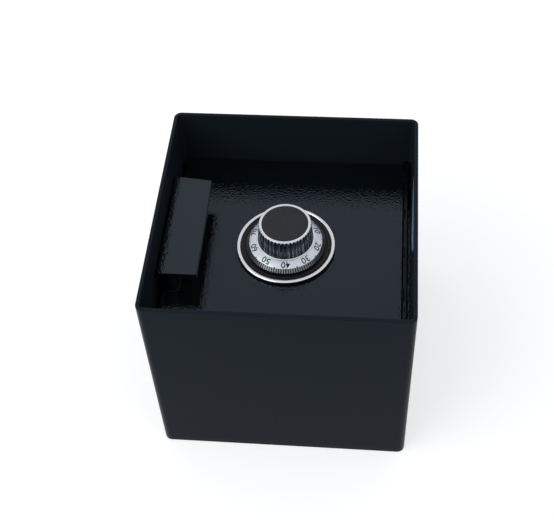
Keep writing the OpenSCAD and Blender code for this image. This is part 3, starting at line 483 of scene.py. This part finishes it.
def foot_welds():
    """Fillets with the ripples of their runs round the feet of the posts."""
    # Cross-section, out from the post's face and up, in shares of the leg; -0.4 is mm inside the post
    section = ((-0.4, 0.0), (-0.4, 0.9), (0.08, 0.97), (0.3, 0.78), (0.62, 0.52), (0.92, 0.14), (1.0, 0.0))
    verts, faces = [], []
    for number, y in enumerate(POSTS.values()):
        path, normals = round_path((POST_LEFT, y), (POST_RIGHT, y + POST_L), POST_R, 0.35, 22)
        base = len(verts)
        for k, ((px, py), (nx, ny)) in enumerate(zip(path, normals)):
            uneven = noise.noise(Vector((px / 3, py / 3, 7.0 * number)))
            ripple = 0.5 * math.sin(k * 2 * math.pi / RIPPLE) + uneven
            leg = WELD_LEG * (0.9 + 0.1 * max(-1.0, min(1.0, ripple)))
            out = min(leg, (px - DOOR_LEFT) / -nx) if nx < -0.05 else leg
            for u, v in section:
                away = out * u if u > 0 else u
                verts.append((px + nx * away, py + ny * away, DOOR_TOP + leg * v))
        faces += [tuple(base + i for i in f) for f in grid_faces(len(path), len(section), wrap_rows=True)]
    piece("handle_weld_beads", verts, faces, WELD_PAINT, "door", ["handle_welds"],
          sharp_deg=50)


def hinge_rod():
    """Round rod with chamfered ends, ground flat along its upper side."""
    end, flat, sides, verts = INNER_Y - 0.25, 0.55, 48, []
    stations = ((-end, ROD_R - 0.5), (-end + 0.12, ROD_R - 0.2), (-end + 0.5, ROD_R), (-DOOR_Y, ROD_R),
                (0.0, ROD_R), (DOOR_Y, ROD_R), (end - 0.5, ROD_R), (end - 0.12, ROD_R - 0.2),
                (end, ROD_R - 0.5))
    for y, r in stations:
        for a in np.linspace(0, 2 * math.pi, sides + 1)[:-1]:
            rise = min(r * math.sin(a), ROD_R - flat) if abs(y) <= DOOR_Y else r * math.sin(a)
            verts.append((ROD_X + r * math.cos(a), y, ROD_Z + rise))
    faces = grid_faces(len(stations), sides) + end_caps(len(stations), sides)
    piece("hinge_rod_coated", verts, faces, ROD_PAINT, "door", ["hinge_rod"])


def hinge_beads():
    """Stitch welds with their ripples in the groove between the rod and the door's edge."""
    # Cross-section in mm: out from the door's edge and up from the bead's foot
    foot = 154.25
    section = ((0.0, 0.0), (0.0, 1.53), (0.45, 1.63), (1.05, 1.61), (1.6, 1.49), (1.88, 1.2), (1.2, 0.35))
    verts, faces = [], []
    rows, n = 57, len(section)
    for number in range(STITCHES):
        y0 = (number - (STITCHES - 1) / 2) * STITCH_PITCH - STITCH_L / 2
        base = len(verts)
        for i in range(rows):
            f = i / (rows - 1)
            ends = min(1.0, math.sqrt(min(f, 1 - f) * 9.0) + 0.25)
            uneven = noise.noise(Vector((i * 0.21, 3.7 * number, 0.0)))
            wave = 0.07 * math.sin(i * 2 * math.pi / RIPPLE) + 0.09 * uneven
            size = min(1.0, ends * (0.9 + wave))
            verts += [(DOOR_RIGHT + x * size, y0 + STITCH_L * f, foot + z * size) for x, z in section]
        faces += [tuple(base + i for i in face) for face in grid_faces(rows, n) + end_caps(rows, n)]
    piece("hinge_weld_beads", verts, faces, WELD_PAINT, "door", ["hinge_welds"], sharp_deg=50)


def cut_out(obj, cutters):
    """Takes the cutters' closed meshes, (verts, faces) in millimetres, out of a piece."""
    for verts, faces in cutters:
        mesh = bpy.data.meshes.new("cutter")
        fill(mesh, verts, faces)
        cutter = bpy.data.objects.new("cutter", mesh)
        bpy.context.scene.collection.objects.link(cutter)
        cut = obj.modifiers.new("cut", "BOOLEAN")
        cut.operation, cut.solver, cut.object = "DIFFERENCE", "EXACT", cutter
        with bpy.context.temp_override(object=obj, active_object=obj, selected_objects=[obj]):
            bpy.ops.object.modifier_move_to_index(modifier="cut", index=0)
            bpy.ops.object.modifier_apply(modifier="cut")
        bpy.data.objects.remove(cutter)
        bpy.data.meshes.remove(mesh)


def round_bar(start, end, r, axis, segments=48):
    """Closed cylinder between two points along x (axis 0) or z (axis 2)."""
    verts = []
    for p in (start, end):
        for k in range(segments):
            a = 2 * math.pi * k / segments
            u, v = r * math.cos(a), r * math.sin(a)
            verts.append((p[0], p[1] + u, p[2] + v) if axis == 0 else (p[0] + u, p[1] + v, p[2]))
    return verts, grid_faces(2, segments) + end_caps(2, segments)


def inner_cover():
    """Folded sheet tray over the works, its edges bent with a radius, holes for the locking bolts."""
    left, right, half, low, top, t, bend = -96.0, 89.0, 93.0, 114.0, 146.0, 1.2, 2.2
    path, normals = round_path((left, -half), (right, half), 2.6, 12.0, 6)
    turns, b = quarter(6)[1:], bend - t
    outer = [(0.0, top), (0.0, low + bend)]
    outer += [(bend - bend * math.cos(a), low + bend - bend * math.sin(a)) for a in turns]
    inner = [(t + b - b * math.cos(a), low + bend - b * math.sin(a)) for a in turns[::-1]]
    inner += [(t, low + bend), (t, top)]
    verts = swept(path, normals, outer + inner)
    n, last, rows = len(path), len(outer) - 1, len(outer) + len(inner)
    # The outer and the inner floor are one face each, without quads between them
    faces = [f for i, f in enumerate(grid_faces(rows, n, wrap_rows=True)) if i // n != last]
    faces += [tuple(range(k * n, (k + 1) * n)) for k in (last, last + 1)]
    obj = piece("inner_cover_tray", verts, faces, COVER_PAINT, "door", ["inner_cover"])
    cut_out(obj, [round_bar((left - 3, y, BOLT_Z), (left + 4, y, BOLT_Z), BOLT_HOLE_R, 0) for y in BOLTS_Y])


def floor_mat():
    """Loose rubber mat with fine ribs from side to side and clearance for the anchors' heads."""
    half_x, half_y, low, top, rib, pitch, r = 110.0, 112.0, 4.0, 7.0, 0.8, 5.6, 2.5
    across = ((0.5, rib), (0.75, 0.15), (1.0, 0.0), (3.4, 0.0), (3.65, 0.15), (3.9, rib))
    line = [(-half_y, top - rib)]
    for i in range(int(2 * half_y / pitch)):
        line += [(-half_y + i * pitch + u, top - drop) for u, drop in across]
    line += [(half_y, top - rib), (half_y, low), (-half_y, low)]
    verts = []
    for side in (-1, 1):
        for y, z in line:
            over = max(0.0, abs(y) - (half_y - r))
            verts.append((side * (half_x - r + math.sqrt(max(0.0, r * r - over * over))), y, z))
    faces = grid_faces(2, len(line)) + end_caps(2, len(line))
    obj = piece("floor_mat_ribbed", verts, faces, RUBBER, "safe_body", ["floor_mat"], sharp_deg=50)
    cut_out(obj, [round_bar((x, y, low - 2), (x, y, top + 2), ANCHOR_HOLE_R, 2)
                  for x in ANCHORS for y in ANCHORS])


def door_seal():
    """Dust seal with a crowned back, all the way round on the seat bars."""
    low, top, whole_side = 144.5, 145.7, 1e6
    outer = round_path((-106.6, -107.9), (103.4, 107.9), 1.6, whole_side, 5)[0]
    inner = round_path((-102.1, -102.6), (98.6, 102.6), 0.6, whole_side, 5)[0]
    section = ((0.0, low), (0.0, top - 0.45), (0.12, top - 0.15), (0.3, top - 0.03), (0.5, top),
               (0.7, top - 0.03), (0.88, top - 0.15), (1.0, top - 0.45), (1.0, low))
    verts = [(*(a + (b - a) * f), z) for f, z in section for a, b in zip(outer, inner)]
    piece("door_seal_strip", verts, grid_faces(len(section), len(outer), wrap_rows=True), RUBBER, "safe_body",
          ["door_seal"])


def rub_mark():
    """Lens of bluish sheen on the hinge side wall, a painted highlight that stands in for a bright streak of
    reflected light.
    """
    top, front, rear, deep, thick, behind = BODY_H - 7.45, -34.0, 52.0, 33.0, 0.1, 0.02
    columns, rows = 49, 13
    verts = []
    # The face on the wall, then the one towards the door, thinner along its edge
    for face in (0.0, thick):
        for i in range(columns):
            u = 2 * i / (columns - 1) - 1
            for k in range(rows):
                inside = 0 < k < rows - 1 and 0 < i < columns - 1
                drop = deep * (1 - u * u) ** 0.8 * k / (rows - 1)
                verts.append((INNER_X + behind - face * (1.0 if inside else 0.4),
                              front + (rear - front) * (u + 1) / 2, top - drop))
    half = columns * rows
    faces = []
    for i in range(columns - 1):
        for k in range(rows - 1):
            a = i * rows + k
            faces += [(a, a + 1, a + rows + 1, a + rows),
                      tuple(half + j for j in (a, a + rows, a + rows + 1, a + 1))]
    rim = [i * rows for i in range(columns)] + [(columns - 1) * rows + k for k in range(1, rows)]
    rim += [i * rows + rows - 1 for i in range(columns - 2, -1, -1)] + list(range(rows - 2, 0, -1))
    faces += [(a, b, half + b, half + a) for a, b in zip(rim, rim[1:] + rim[:1])]
    piece("wall_painted_sheen_highlight", verts, faces, WALL_SHEEN_HIGHLIGHT_PAINT, "safe_body", ())


door()
handle()
foot_welds()
hinge_rod()
hinge_beads()
inner_cover()
floor_mat()
door_seal()
body_shell()
rub_mark()

# ---------------------------------------------------------------- ring, dial, knob
RING_H, RING_FLOOR = 3.0, 2.5
RING_OUT = 44.4
RIM_IN, GROOVE_IN = 37.6, 39.9
BEZEL_IN, BEZEL_OUT, BEZEL_H = 41.2, 44.8, 1.4
SPINDLE_R = 4.0
TUBE_R = 5.5
DIAL_R, DIAL_EDGE_LOW, DIAL_EDGE_Z = 35.8, 4.7, 5.5
BAND_R, BAND_Z = 33.05, 8.4
FLANGE_R, FLANGE_Z = 26.4, 12.0
KNOB_BASE_R, KNOB_TOP_R, KNOB_TOP_Z = 25.1, 23.4, 31.9
FOOT_H, KNOB_RIM_H = 1.0, 1.8
FLUTES, FLUTE_R, FLUTE_DEPTH = 44, 1.25, 0.8
INSERT_R, INSERT_T, INSERT_DROP = 20.8, 1.5, 0.3
# Lengths of the dial's two sloped bands along its profile
BAND_L = math.dist((FLANGE_R, FLANGE_Z), (BAND_R, BAND_Z))
STEEP_L = math.dist((BAND_R, BAND_Z), (DIAL_R, DIAL_EDGE_Z))
# Turn of the dial in the photo in degrees, from 90 at the index line
DIAL_TURN = 4.6


def dial_ring():
    """Black ring fixed to the door, stepped for its bezel, and the white index line at its rear."""
    seat, groove = RING_H - 0.4, RING_H - 0.7
    corners = [(TUBE_R, 0.0), (RING_OUT, 0.0), (RING_OUT, seat), (41.6, seat), (40.9, groove),
               (GROOVE_IN, groove), (GROOVE_IN - 0.2, RING_H), (RIM_IN, RING_H), (RIM_IN - 0.4, RING_FLOOR),
               (TUBE_R, RING_FLOOR)]
    start = (TUBE_R, RING_FLOOR / 2)
    profile = rounded_profile([start] + corners + [start],
                              [0.0, 0.3, 0.2, 0.0, 0.0, 0.1, 0.15, 0.3, 0.2, 0.0])
    verts, faces = revolved(profile[:-1], 160)
    piece("dial_ring_moulding", verts, faces, PLASTIC, "door", ["dial_ring"])
    half, y0, y1, bevel = 0.4, AXIS_Y + RIM_IN + 0.25, AXIS_Y + 41.0, 0.1
    verts = []
    for z, b in ((DOOR_TOP + RING_H - 0.2, 0.0), (DOOR_TOP + RING_H + 0.06, bevel)):
        x0, x1 = AXIS_X - half + b, AXIS_X + half - b
        verts += [(x0, y0 + b, z), (x1, y0 + b, z), (x1, y1 - b, z), (x0, y1 - b, z)]
    piece("index_line", verts, grid_faces(2, 4) + end_caps(2, 4), WHITE_INK, "door", (),
          smooth=False)


def ring_bezel():
    """Bright ring with a crown that is part of a circle."""
    low, shoulder = RING_H - 0.4, RING_H + 0.65
    mid, half, sag = (BEZEL_IN + BEZEL_OUT) / 2, (BEZEL_OUT - BEZEL_IN) / 2, BEZEL_H - 0.65
    big = (half * half + sag * sag) / (2 * sag)
    turn = math.asin(half / big)
    profile = [(mid, low), (BEZEL_OUT - 0.1, low), (BEZEL_OUT, low + 0.1)]
    profile += [(mid + big * math.sin(a), shoulder + sag - big + big * math.cos(a))
                for a in np.linspace(turn, -turn, 15)]
    profile += [(BEZEL_IN, RING_H - 0.1), (BEZEL_IN + 0.45, low)]
    verts, faces = revolved(profile, 192)
    piece("ring_bezel_plated", verts, faces, BEZEL_CHROME, "door", ["ring_bezel"])


def on_cone(s):
    """Radius, height and outward normal at s mm from the flange along the dial's upper profile."""
    if s <= BAND_L:
        f, (r0, z0), (r1, z1) = s / BAND_L, (FLANGE_R, FLANGE_Z), (BAND_R, BAND_Z)
    else:
        f, (r0, z0), (r1, z1) = (s - BAND_L) / STEEP_L, (BAND_R, BAND_Z), (DIAL_R, DIAL_EDGE_Z)
    return r0 + (r1 - r0) * f, z0 + (z1 - z0) * f, Vector((z0 - z1, r1 - r0)).normalized()


def lifted(s, angle, lift):
    """The place lift mm above the dial's face."""
    r, z, n = on_cone(s)
    r, z = r + n.x * lift, z + n.y * lift
    return (AXIS_X + r * math.cos(angle), AXIS_Y + r * math.sin(angle), DOOR_TOP + z)


def division(value):
    """Angle in the plan of one of the dial's hundred divisions."""
    return math.radians(90 + DIAL_TURN - 3.6 * (value - 90))


def dial():
    """Dish with a gently sloped number band and a steep band for the divisions."""
    web = BAND_Z - 2
    corners = [(SPINDLE_R, 3.6), (SPINDLE_R + 4, 3.6), (SPINDLE_R + 4, web), (BAND_R - 1, web),
               (DIAL_R - 2, DIAL_EDGE_LOW), (DIAL_R, DIAL_EDGE_LOW), (DIAL_R, DIAL_EDGE_Z), (BAND_R, BAND_Z),
               (FLANGE_R, FLANGE_Z), (SPINDLE_R, FLANGE_Z)]
    start = (SPINDLE_R, 7.0)
    profile = rounded_profile([start] + corners + [start], [0, 0.2, 0.3, 0.5, 0.3, 0.15, 0.2, 0.3, 0, 0],
                              segments=4)
    verts, faces = revolved(profile[:-1], 200)
    obj = piece("dial_dish", verts, faces, [DIAL_SATIN, TICK_BAND], "dial_works", ["dial"])
    for polygon in obj.data.polygons:
        c = polygon.center
        r = math.hypot(c.x / MM - AXIS_X, c.y / MM - AXIS_Y)
        z = c.z / MM - DOOR_TOP
        if BAND_R + 0.1 < r < DIAL_R + 0.2 and z > DIAL_EDGE_Z - 0.4:
            polygon.material_index = 1


def dial_ticks():
    """100 divisions as thin inked strips on the steep band; fives and tens reach into the number band."""
    verts, faces = [], []
    for i in range(100):
        angle = division(i)
        start = BAND_L - (0.9 if i % 10 == 5 else 0.25 if i % 10 == 0 else -0.12)
        stations = [start, BAND_L] if start < BAND_L else [start]
        stations += [BAND_L + STEEP_L * 0.5, BAND_L + STEEP_L * 0.98]
        half, base = 0.55 if i % 5 == 0 else 0.5, len(verts)
        for s in stations:
            r = on_cone(s)[0]
            for side, lift in ((-1, -0.05), (-1, 0.05), (1, 0.05), (1, -0.05)):
                verts.append(lifted(s, angle + side * half / r, lift))
        n = len(stations)
        faces += [tuple(base + k for k in face) for face in grid_faces(n, 4) + end_caps(n, 4)]
    piece("dial_ticks", verts, faces, INK, "dial_works", (), smooth=False)


def number_mesh(value):
    """Flat outline of a number: its points and its faces."""
    curve = bpy.data.curves.new(f"number_{value}", "FONT")
    curve.body = str(value)
    curve.align_x = "CENTER"
    curve.space_character = 1.02
    curve.resolution_u = 6
    curve.offset = 0.012
    temp = bpy.data.objects.new(f"number_{value}", curve)
    bpy.context.scene.collection.objects.link(temp)
    bpy.context.view_layer.update()
    mesh = bpy.data.meshes.new_from_object(temp.evaluated_get(bpy.context.evaluated_depsgraph_get()))
    points = np.array([v.co[:2] for v in mesh.vertices])
    polygons = [tuple(p.vertices) for p in mesh.polygons]
    bpy.data.objects.remove(temp)
    bpy.data.curves.remove(curve)
    bpy.data.meshes.remove(mesh)
    return points, polygons


def dial_numbers():
    """The tens as inked numbers, their tops outwards, bent onto the number band."""
    height, foot, wider = 5.7, 1.15, 1.06
    r_mid = on_cone(foot + height / 2)[0]
    verts, faces = [], []
    for value in range(0, 100, 10):
        points, polygons = number_mesh(value)
        low, high = points.min(0), points.max(0)
        grow = height / (high[1] - low[1])
        centre_x = (low[0] + high[0]) / 2
        centre, base, count = division(value), len(verts), len(points)
        for lift in (0.04, -0.06):
            for x, y in points:
                u, s = (x - centre_x) * grow * wider, foot + (y - low[1]) * grow
                verts.append(lifted(s, centre - u / r_mid, lift))
        edges = {}
        for p in polygons:
            faces.append(tuple(base + i for i in p))
            faces.append(tuple(base + count + i for i in p[::-1]))
            edges.update(dict.fromkeys(zip(p, p[1:] + p[:1])))
        faces += [(base + b, base + a, base + count + a, base + count + b) for a, b in edges
                  if (b, a) not in edges]
    piece("dial_numbers", verts, faces, INK, "dial_works", (), smooth=False)


def knob():
    """Chromed knob: smooth foot, concave flutes, smooth rim round the recess for its disc, with darker and
    lighter copies of its chrome that paint in shade and highlights.
    """
    h = KNOB_TOP_Z - FLANGE_Z
    top = h - KNOB_RIM_H
    half = math.sqrt(FLUTE_R**2 - (FLUTE_R - FLUTE_DEPTH) ** 2)
    # Columns of points across each flute: angle and distance from its middle
    mid_r = 24.3
    columns = [(i * 2 * math.pi / FLUTES + s * half / mid_r, s * half) for i in range(FLUTES)
               for s in (-1.45, -1.12, -1.0, -0.85, -0.6, -0.3, 0.0, 0.3, 0.6, 0.85, 1.0, 1.12)]

    def cut(s):
        return math.sqrt(FLUTE_R**2 - s * s) - (FLUTE_R - FLUTE_DEPTH) if abs(s) < half else 0.0

    def taper(z):
        return KNOB_BASE_R + (KNOB_TOP_R - KNOB_BASE_R) * max(0.0, z - FOOT_H) / (h - 0.5 - FOOT_H)

    # Rows of points from the foot up: radius, height and share of the flutes' depth
    rows = [(FLANGE_R - 0.05, 0.0, 0.0), (FLANGE_R - 0.05, 0.5, 0.0), (FLANGE_R - 0.15, 0.6, 0.0),
            (KNOB_BASE_R + 0.2, 0.7, 0.0), (KNOB_BASE_R - 0.1, 0.75, 0.0), (KNOB_BASE_R, 0.9, 0.0)]
    rows += [(taper(z), z, share) for z, share in
             ((FOOT_H, 0.0), (FOOT_H + 0.9, 0.0), (FOOT_H + 1.3, 0.35), (FOOT_H + 1.7, 0.8),
              (FOOT_H + 2.2, 1.0), (FOOT_H + 6.0, 1.0), (top - 0.5, 1.0), (top, 1.0))]
    rows += [(KNOB_TOP_R - in_by, h - drop, share) for in_by, drop, share in
             ((0.01, 1.0, 0.9), (0.04, 0.7, 0.7), (0.09, 0.45, 0.4), (0.18, 0.22, 0.15), (0.32, 0.08, 0.04),
              (0.5, 0.0, 0.0))]
    rows += [(INSERT_R + 0.35, h, 0.0), (INSERT_R + 0.1, h - 0.1, 0.0), (INSERT_R, h - 0.3, 0.0),
             (INSERT_R, h - INSERT_T - INSERT_DROP, 0.0)]
    verts = []
    for r, z, share in rows:
        for angle, s in columns:
            q = r - share * cut(s)
            verts.append((AXIS_X + q * math.cos(angle), AXIS_Y + q * math.sin(angle),
                          DOOR_TOP + FLANGE_Z + z))
    n = len(columns)
    obj = piece("knob_plated", verts, grid_faces(len(rows), n) + end_caps(len(rows), n),
                [CHROME, FLUTE_SHADE_CHROME, RIDGE_HIGHLIGHT_CHROME, RIM_HIGHLIGHT_CHROME], "dial_works", ["dial_knob"],
                sharp_deg=40)
    # The foot's upper edge and the rim's top take plain chrome; the flutes and the foot's lower edge take a
    # darker copy, painted shade; their ridges and the band below the rim take lighter copies, painted
    # highlights
    for polygon in obj.data.polygons:
        z = polygon.center.z / MM - DOOR_TOP - FLANGE_Z
        ridge = all(abs(columns[i % n][1]) > 0.99 * half for i in polygon.vertices)
        if z < 0.52 or 0.72 < z < h - (1.6 if ridge else 1.0):
            polygon.material_index = 2 if ridge and z > FOOT_H + 1.0 else 1
        elif 0.72 < z < h - 0.3:
            polygon.material_index = 3


def insert():
    """Dark disc let into the knob's top, very slightly dished."""
    top = KNOB_TOP_Z - INSERT_DROP
    r = INSERT_R - 0.02
    profile = [(0.0, top - INSERT_T), (r, top - INSERT_T), (r, top - 0.25), (r - 0.08, top - 0.08),
               (r - 0.3, top), (r * 0.75, top - 0.04), (r * 0.5, top - 0.08), (r * 0.25, top - 0.1),
               (0.0, top - 0.11)]
    verts, faces = revolved(profile, 128, closed=False)
    piece("knob_disc", verts, faces, INSERT, "dial_works", ["knob_insert"])


dial_ring()
ring_bezel()
dial()
dial_ticks()
dial_numbers()
knob()
insert()

# ---------------------------------------------------------------- floor, light, camera
def seen_white(tree, strength):
    """strength for camera, glossy and transmission rays, nothing for the diffuse rays that light the part."""
    rays = add_node(tree, "ShaderNodeLightPath").outputs
    total = rays["Is Camera Ray"]
    for other in ("Is Glossy Ray", "Is Transmission Ray"):
        total = add_node(tree, "ShaderNodeMath", {0: total, 1: rays[other]}, operation="MAXIMUM").outputs[0]
    return add_node(tree, "ShaderNodeMath", {0: total, 1: strength}, operation="MULTIPLY").outputs[0]


FLOOR_HALF, FLOOR_DROP = 6, 0.0002
FLOOR_GREY, FLOOR_GLOW = 0.6, 0.58
WHITE = (1, 1, 1, 1)
floor_mesh = bpy.data.meshes.new("studio_floor")
corners = [(x * FLOOR_HALF, y * FLOOR_HALF, 0) for x, y in ((-1, -1), (1, -1), (1, 1), (-1, 1))]
floor_mesh.from_pydata(corners, [], [(0, 1, 2, 3)])
floor = bpy.data.objects.new("studio_floor", floor_mesh)
floor.location.z = -FLOOR_DROP
bpy.context.scene.collection.objects.link(floor)
floor_material = bpy.data.materials.new("studio_floor")
floor_material.use_nodes = True
tree = floor_material.node_tree
tree.nodes.clear()
diffuse = add_node(tree, "ShaderNodeBsdfDiffuse", {"Color": (FLOOR_GREY, FLOOR_GREY, FLOOR_GREY, 1)})
glow = add_node(tree, "ShaderNodeEmission", {"Color": WHITE, "Strength": seen_white(tree, FLOOR_GLOW)})
both = add_node(tree, "ShaderNodeAddShader", {0: diffuse.outputs[0], 1: glow.outputs[0]})
add_node(tree, "ShaderNodeOutputMaterial", {"Surface": both.outputs[0]})
floor_mesh.materials.append(floor_material)

# World: colours from straight below (0) to straight above (1) for the light, white where it is seen
SKY = [(0.0, (0.42, 0.43, 0.45)), (0.3, (0.45, 0.47, 0.5)), (0.62, (0.74, 0.79, 0.86)),
       (0.8, (0.72, 0.75, 0.8)), (1.0, (0.64, 0.64, 0.67))]
world = bpy.data.worlds.new("studio")
bpy.context.scene.world = world
world.use_nodes = True
tree = world.node_tree
tree.nodes.clear()
heading = add_node(tree, "ShaderNodeTexCoord").outputs["Generated"]
height = add_node(tree, "ShaderNodeSeparateXYZ", {0: heading}).outputs["Z"]
sky = add_node(tree, "ShaderNodeValToRGB", {0: height})
while len(sky.color_ramp.elements) < len(SKY):
    sky.color_ramp.elements.new(0.5)
for element, (place, colour) in zip(sky.color_ramp.elements, SKY):
    element.position = place
    element.color = (*colour, 1)
seen = add_node(tree, "ShaderNodeMix", {0: seen_white(tree, 1.0), 6: sky.outputs[0], 7: WHITE},
                data_type="RGBA").outputs[2]
background = add_node(tree, "ShaderNodeBackground", {"Color": seen})
add_node(tree, "ShaderNodeOutputWorld", {"Surface": background.outputs[0]})

# One large soft lamp from the front left
LAMP_PLACE, LAMP_TARGET, LAMP_SIDE, LAMP_WATTS = Vector((-1.7, -1.1, 1.9)), Vector((0, 0, 0.1)), 2.2, 26
light = bpy.data.lights.new("key_lamp", "AREA")
light.shape = "SQUARE"
light.size = LAMP_SIDE
light.energy = LAMP_WATTS
lamp = bpy.data.objects.new("key_lamp", light)
lamp.location = LAMP_PLACE
lamp.rotation_mode = "QUATERNION"
lamp.rotation_quaternion = (LAMP_TARGET - LAMP_PLACE).to_track_quat("-Z", "Y")
bpy.context.scene.collection.objects.link(lamp)

# Camera fitted to the photo: its lens in mm, its place in metres, its right and up directions
LENS_MM, CAMERA_PLACE = 68.9455, (0.07200, -0.61090, 0.89835)
CAMERA_RIGHT, CAMERA_UP = (0.99561, 0.08464, -0.03996), (-0.04084, 0.77693, 0.62826)
camera_data = bpy.data.cameras.new("camera")
camera_data.lens = LENS_MM
camera_data.sensor_width = 36.0
camera_data.sensor_fit = "HORIZONTAL"
camera_data.clip_start, camera_data.clip_end = 0.01, 50
camera = bpy.data.objects.new("camera", camera_data)
right, up = Vector(CAMERA_RIGHT), Vector(CAMERA_UP)
back = right.cross(up).normalized()
up = back.cross(right).normalized()
axes = Matrix((right.normalized(), up, back)).transposed()
camera.matrix_world = Matrix.Translation(CAMERA_PLACE) @ axes.to_4x4()
bpy.context.scene.collection.objects.link(camera)
bpy.context.scene.camera = camera
bpy.context.scene.view_settings.view_transform = "Standard"
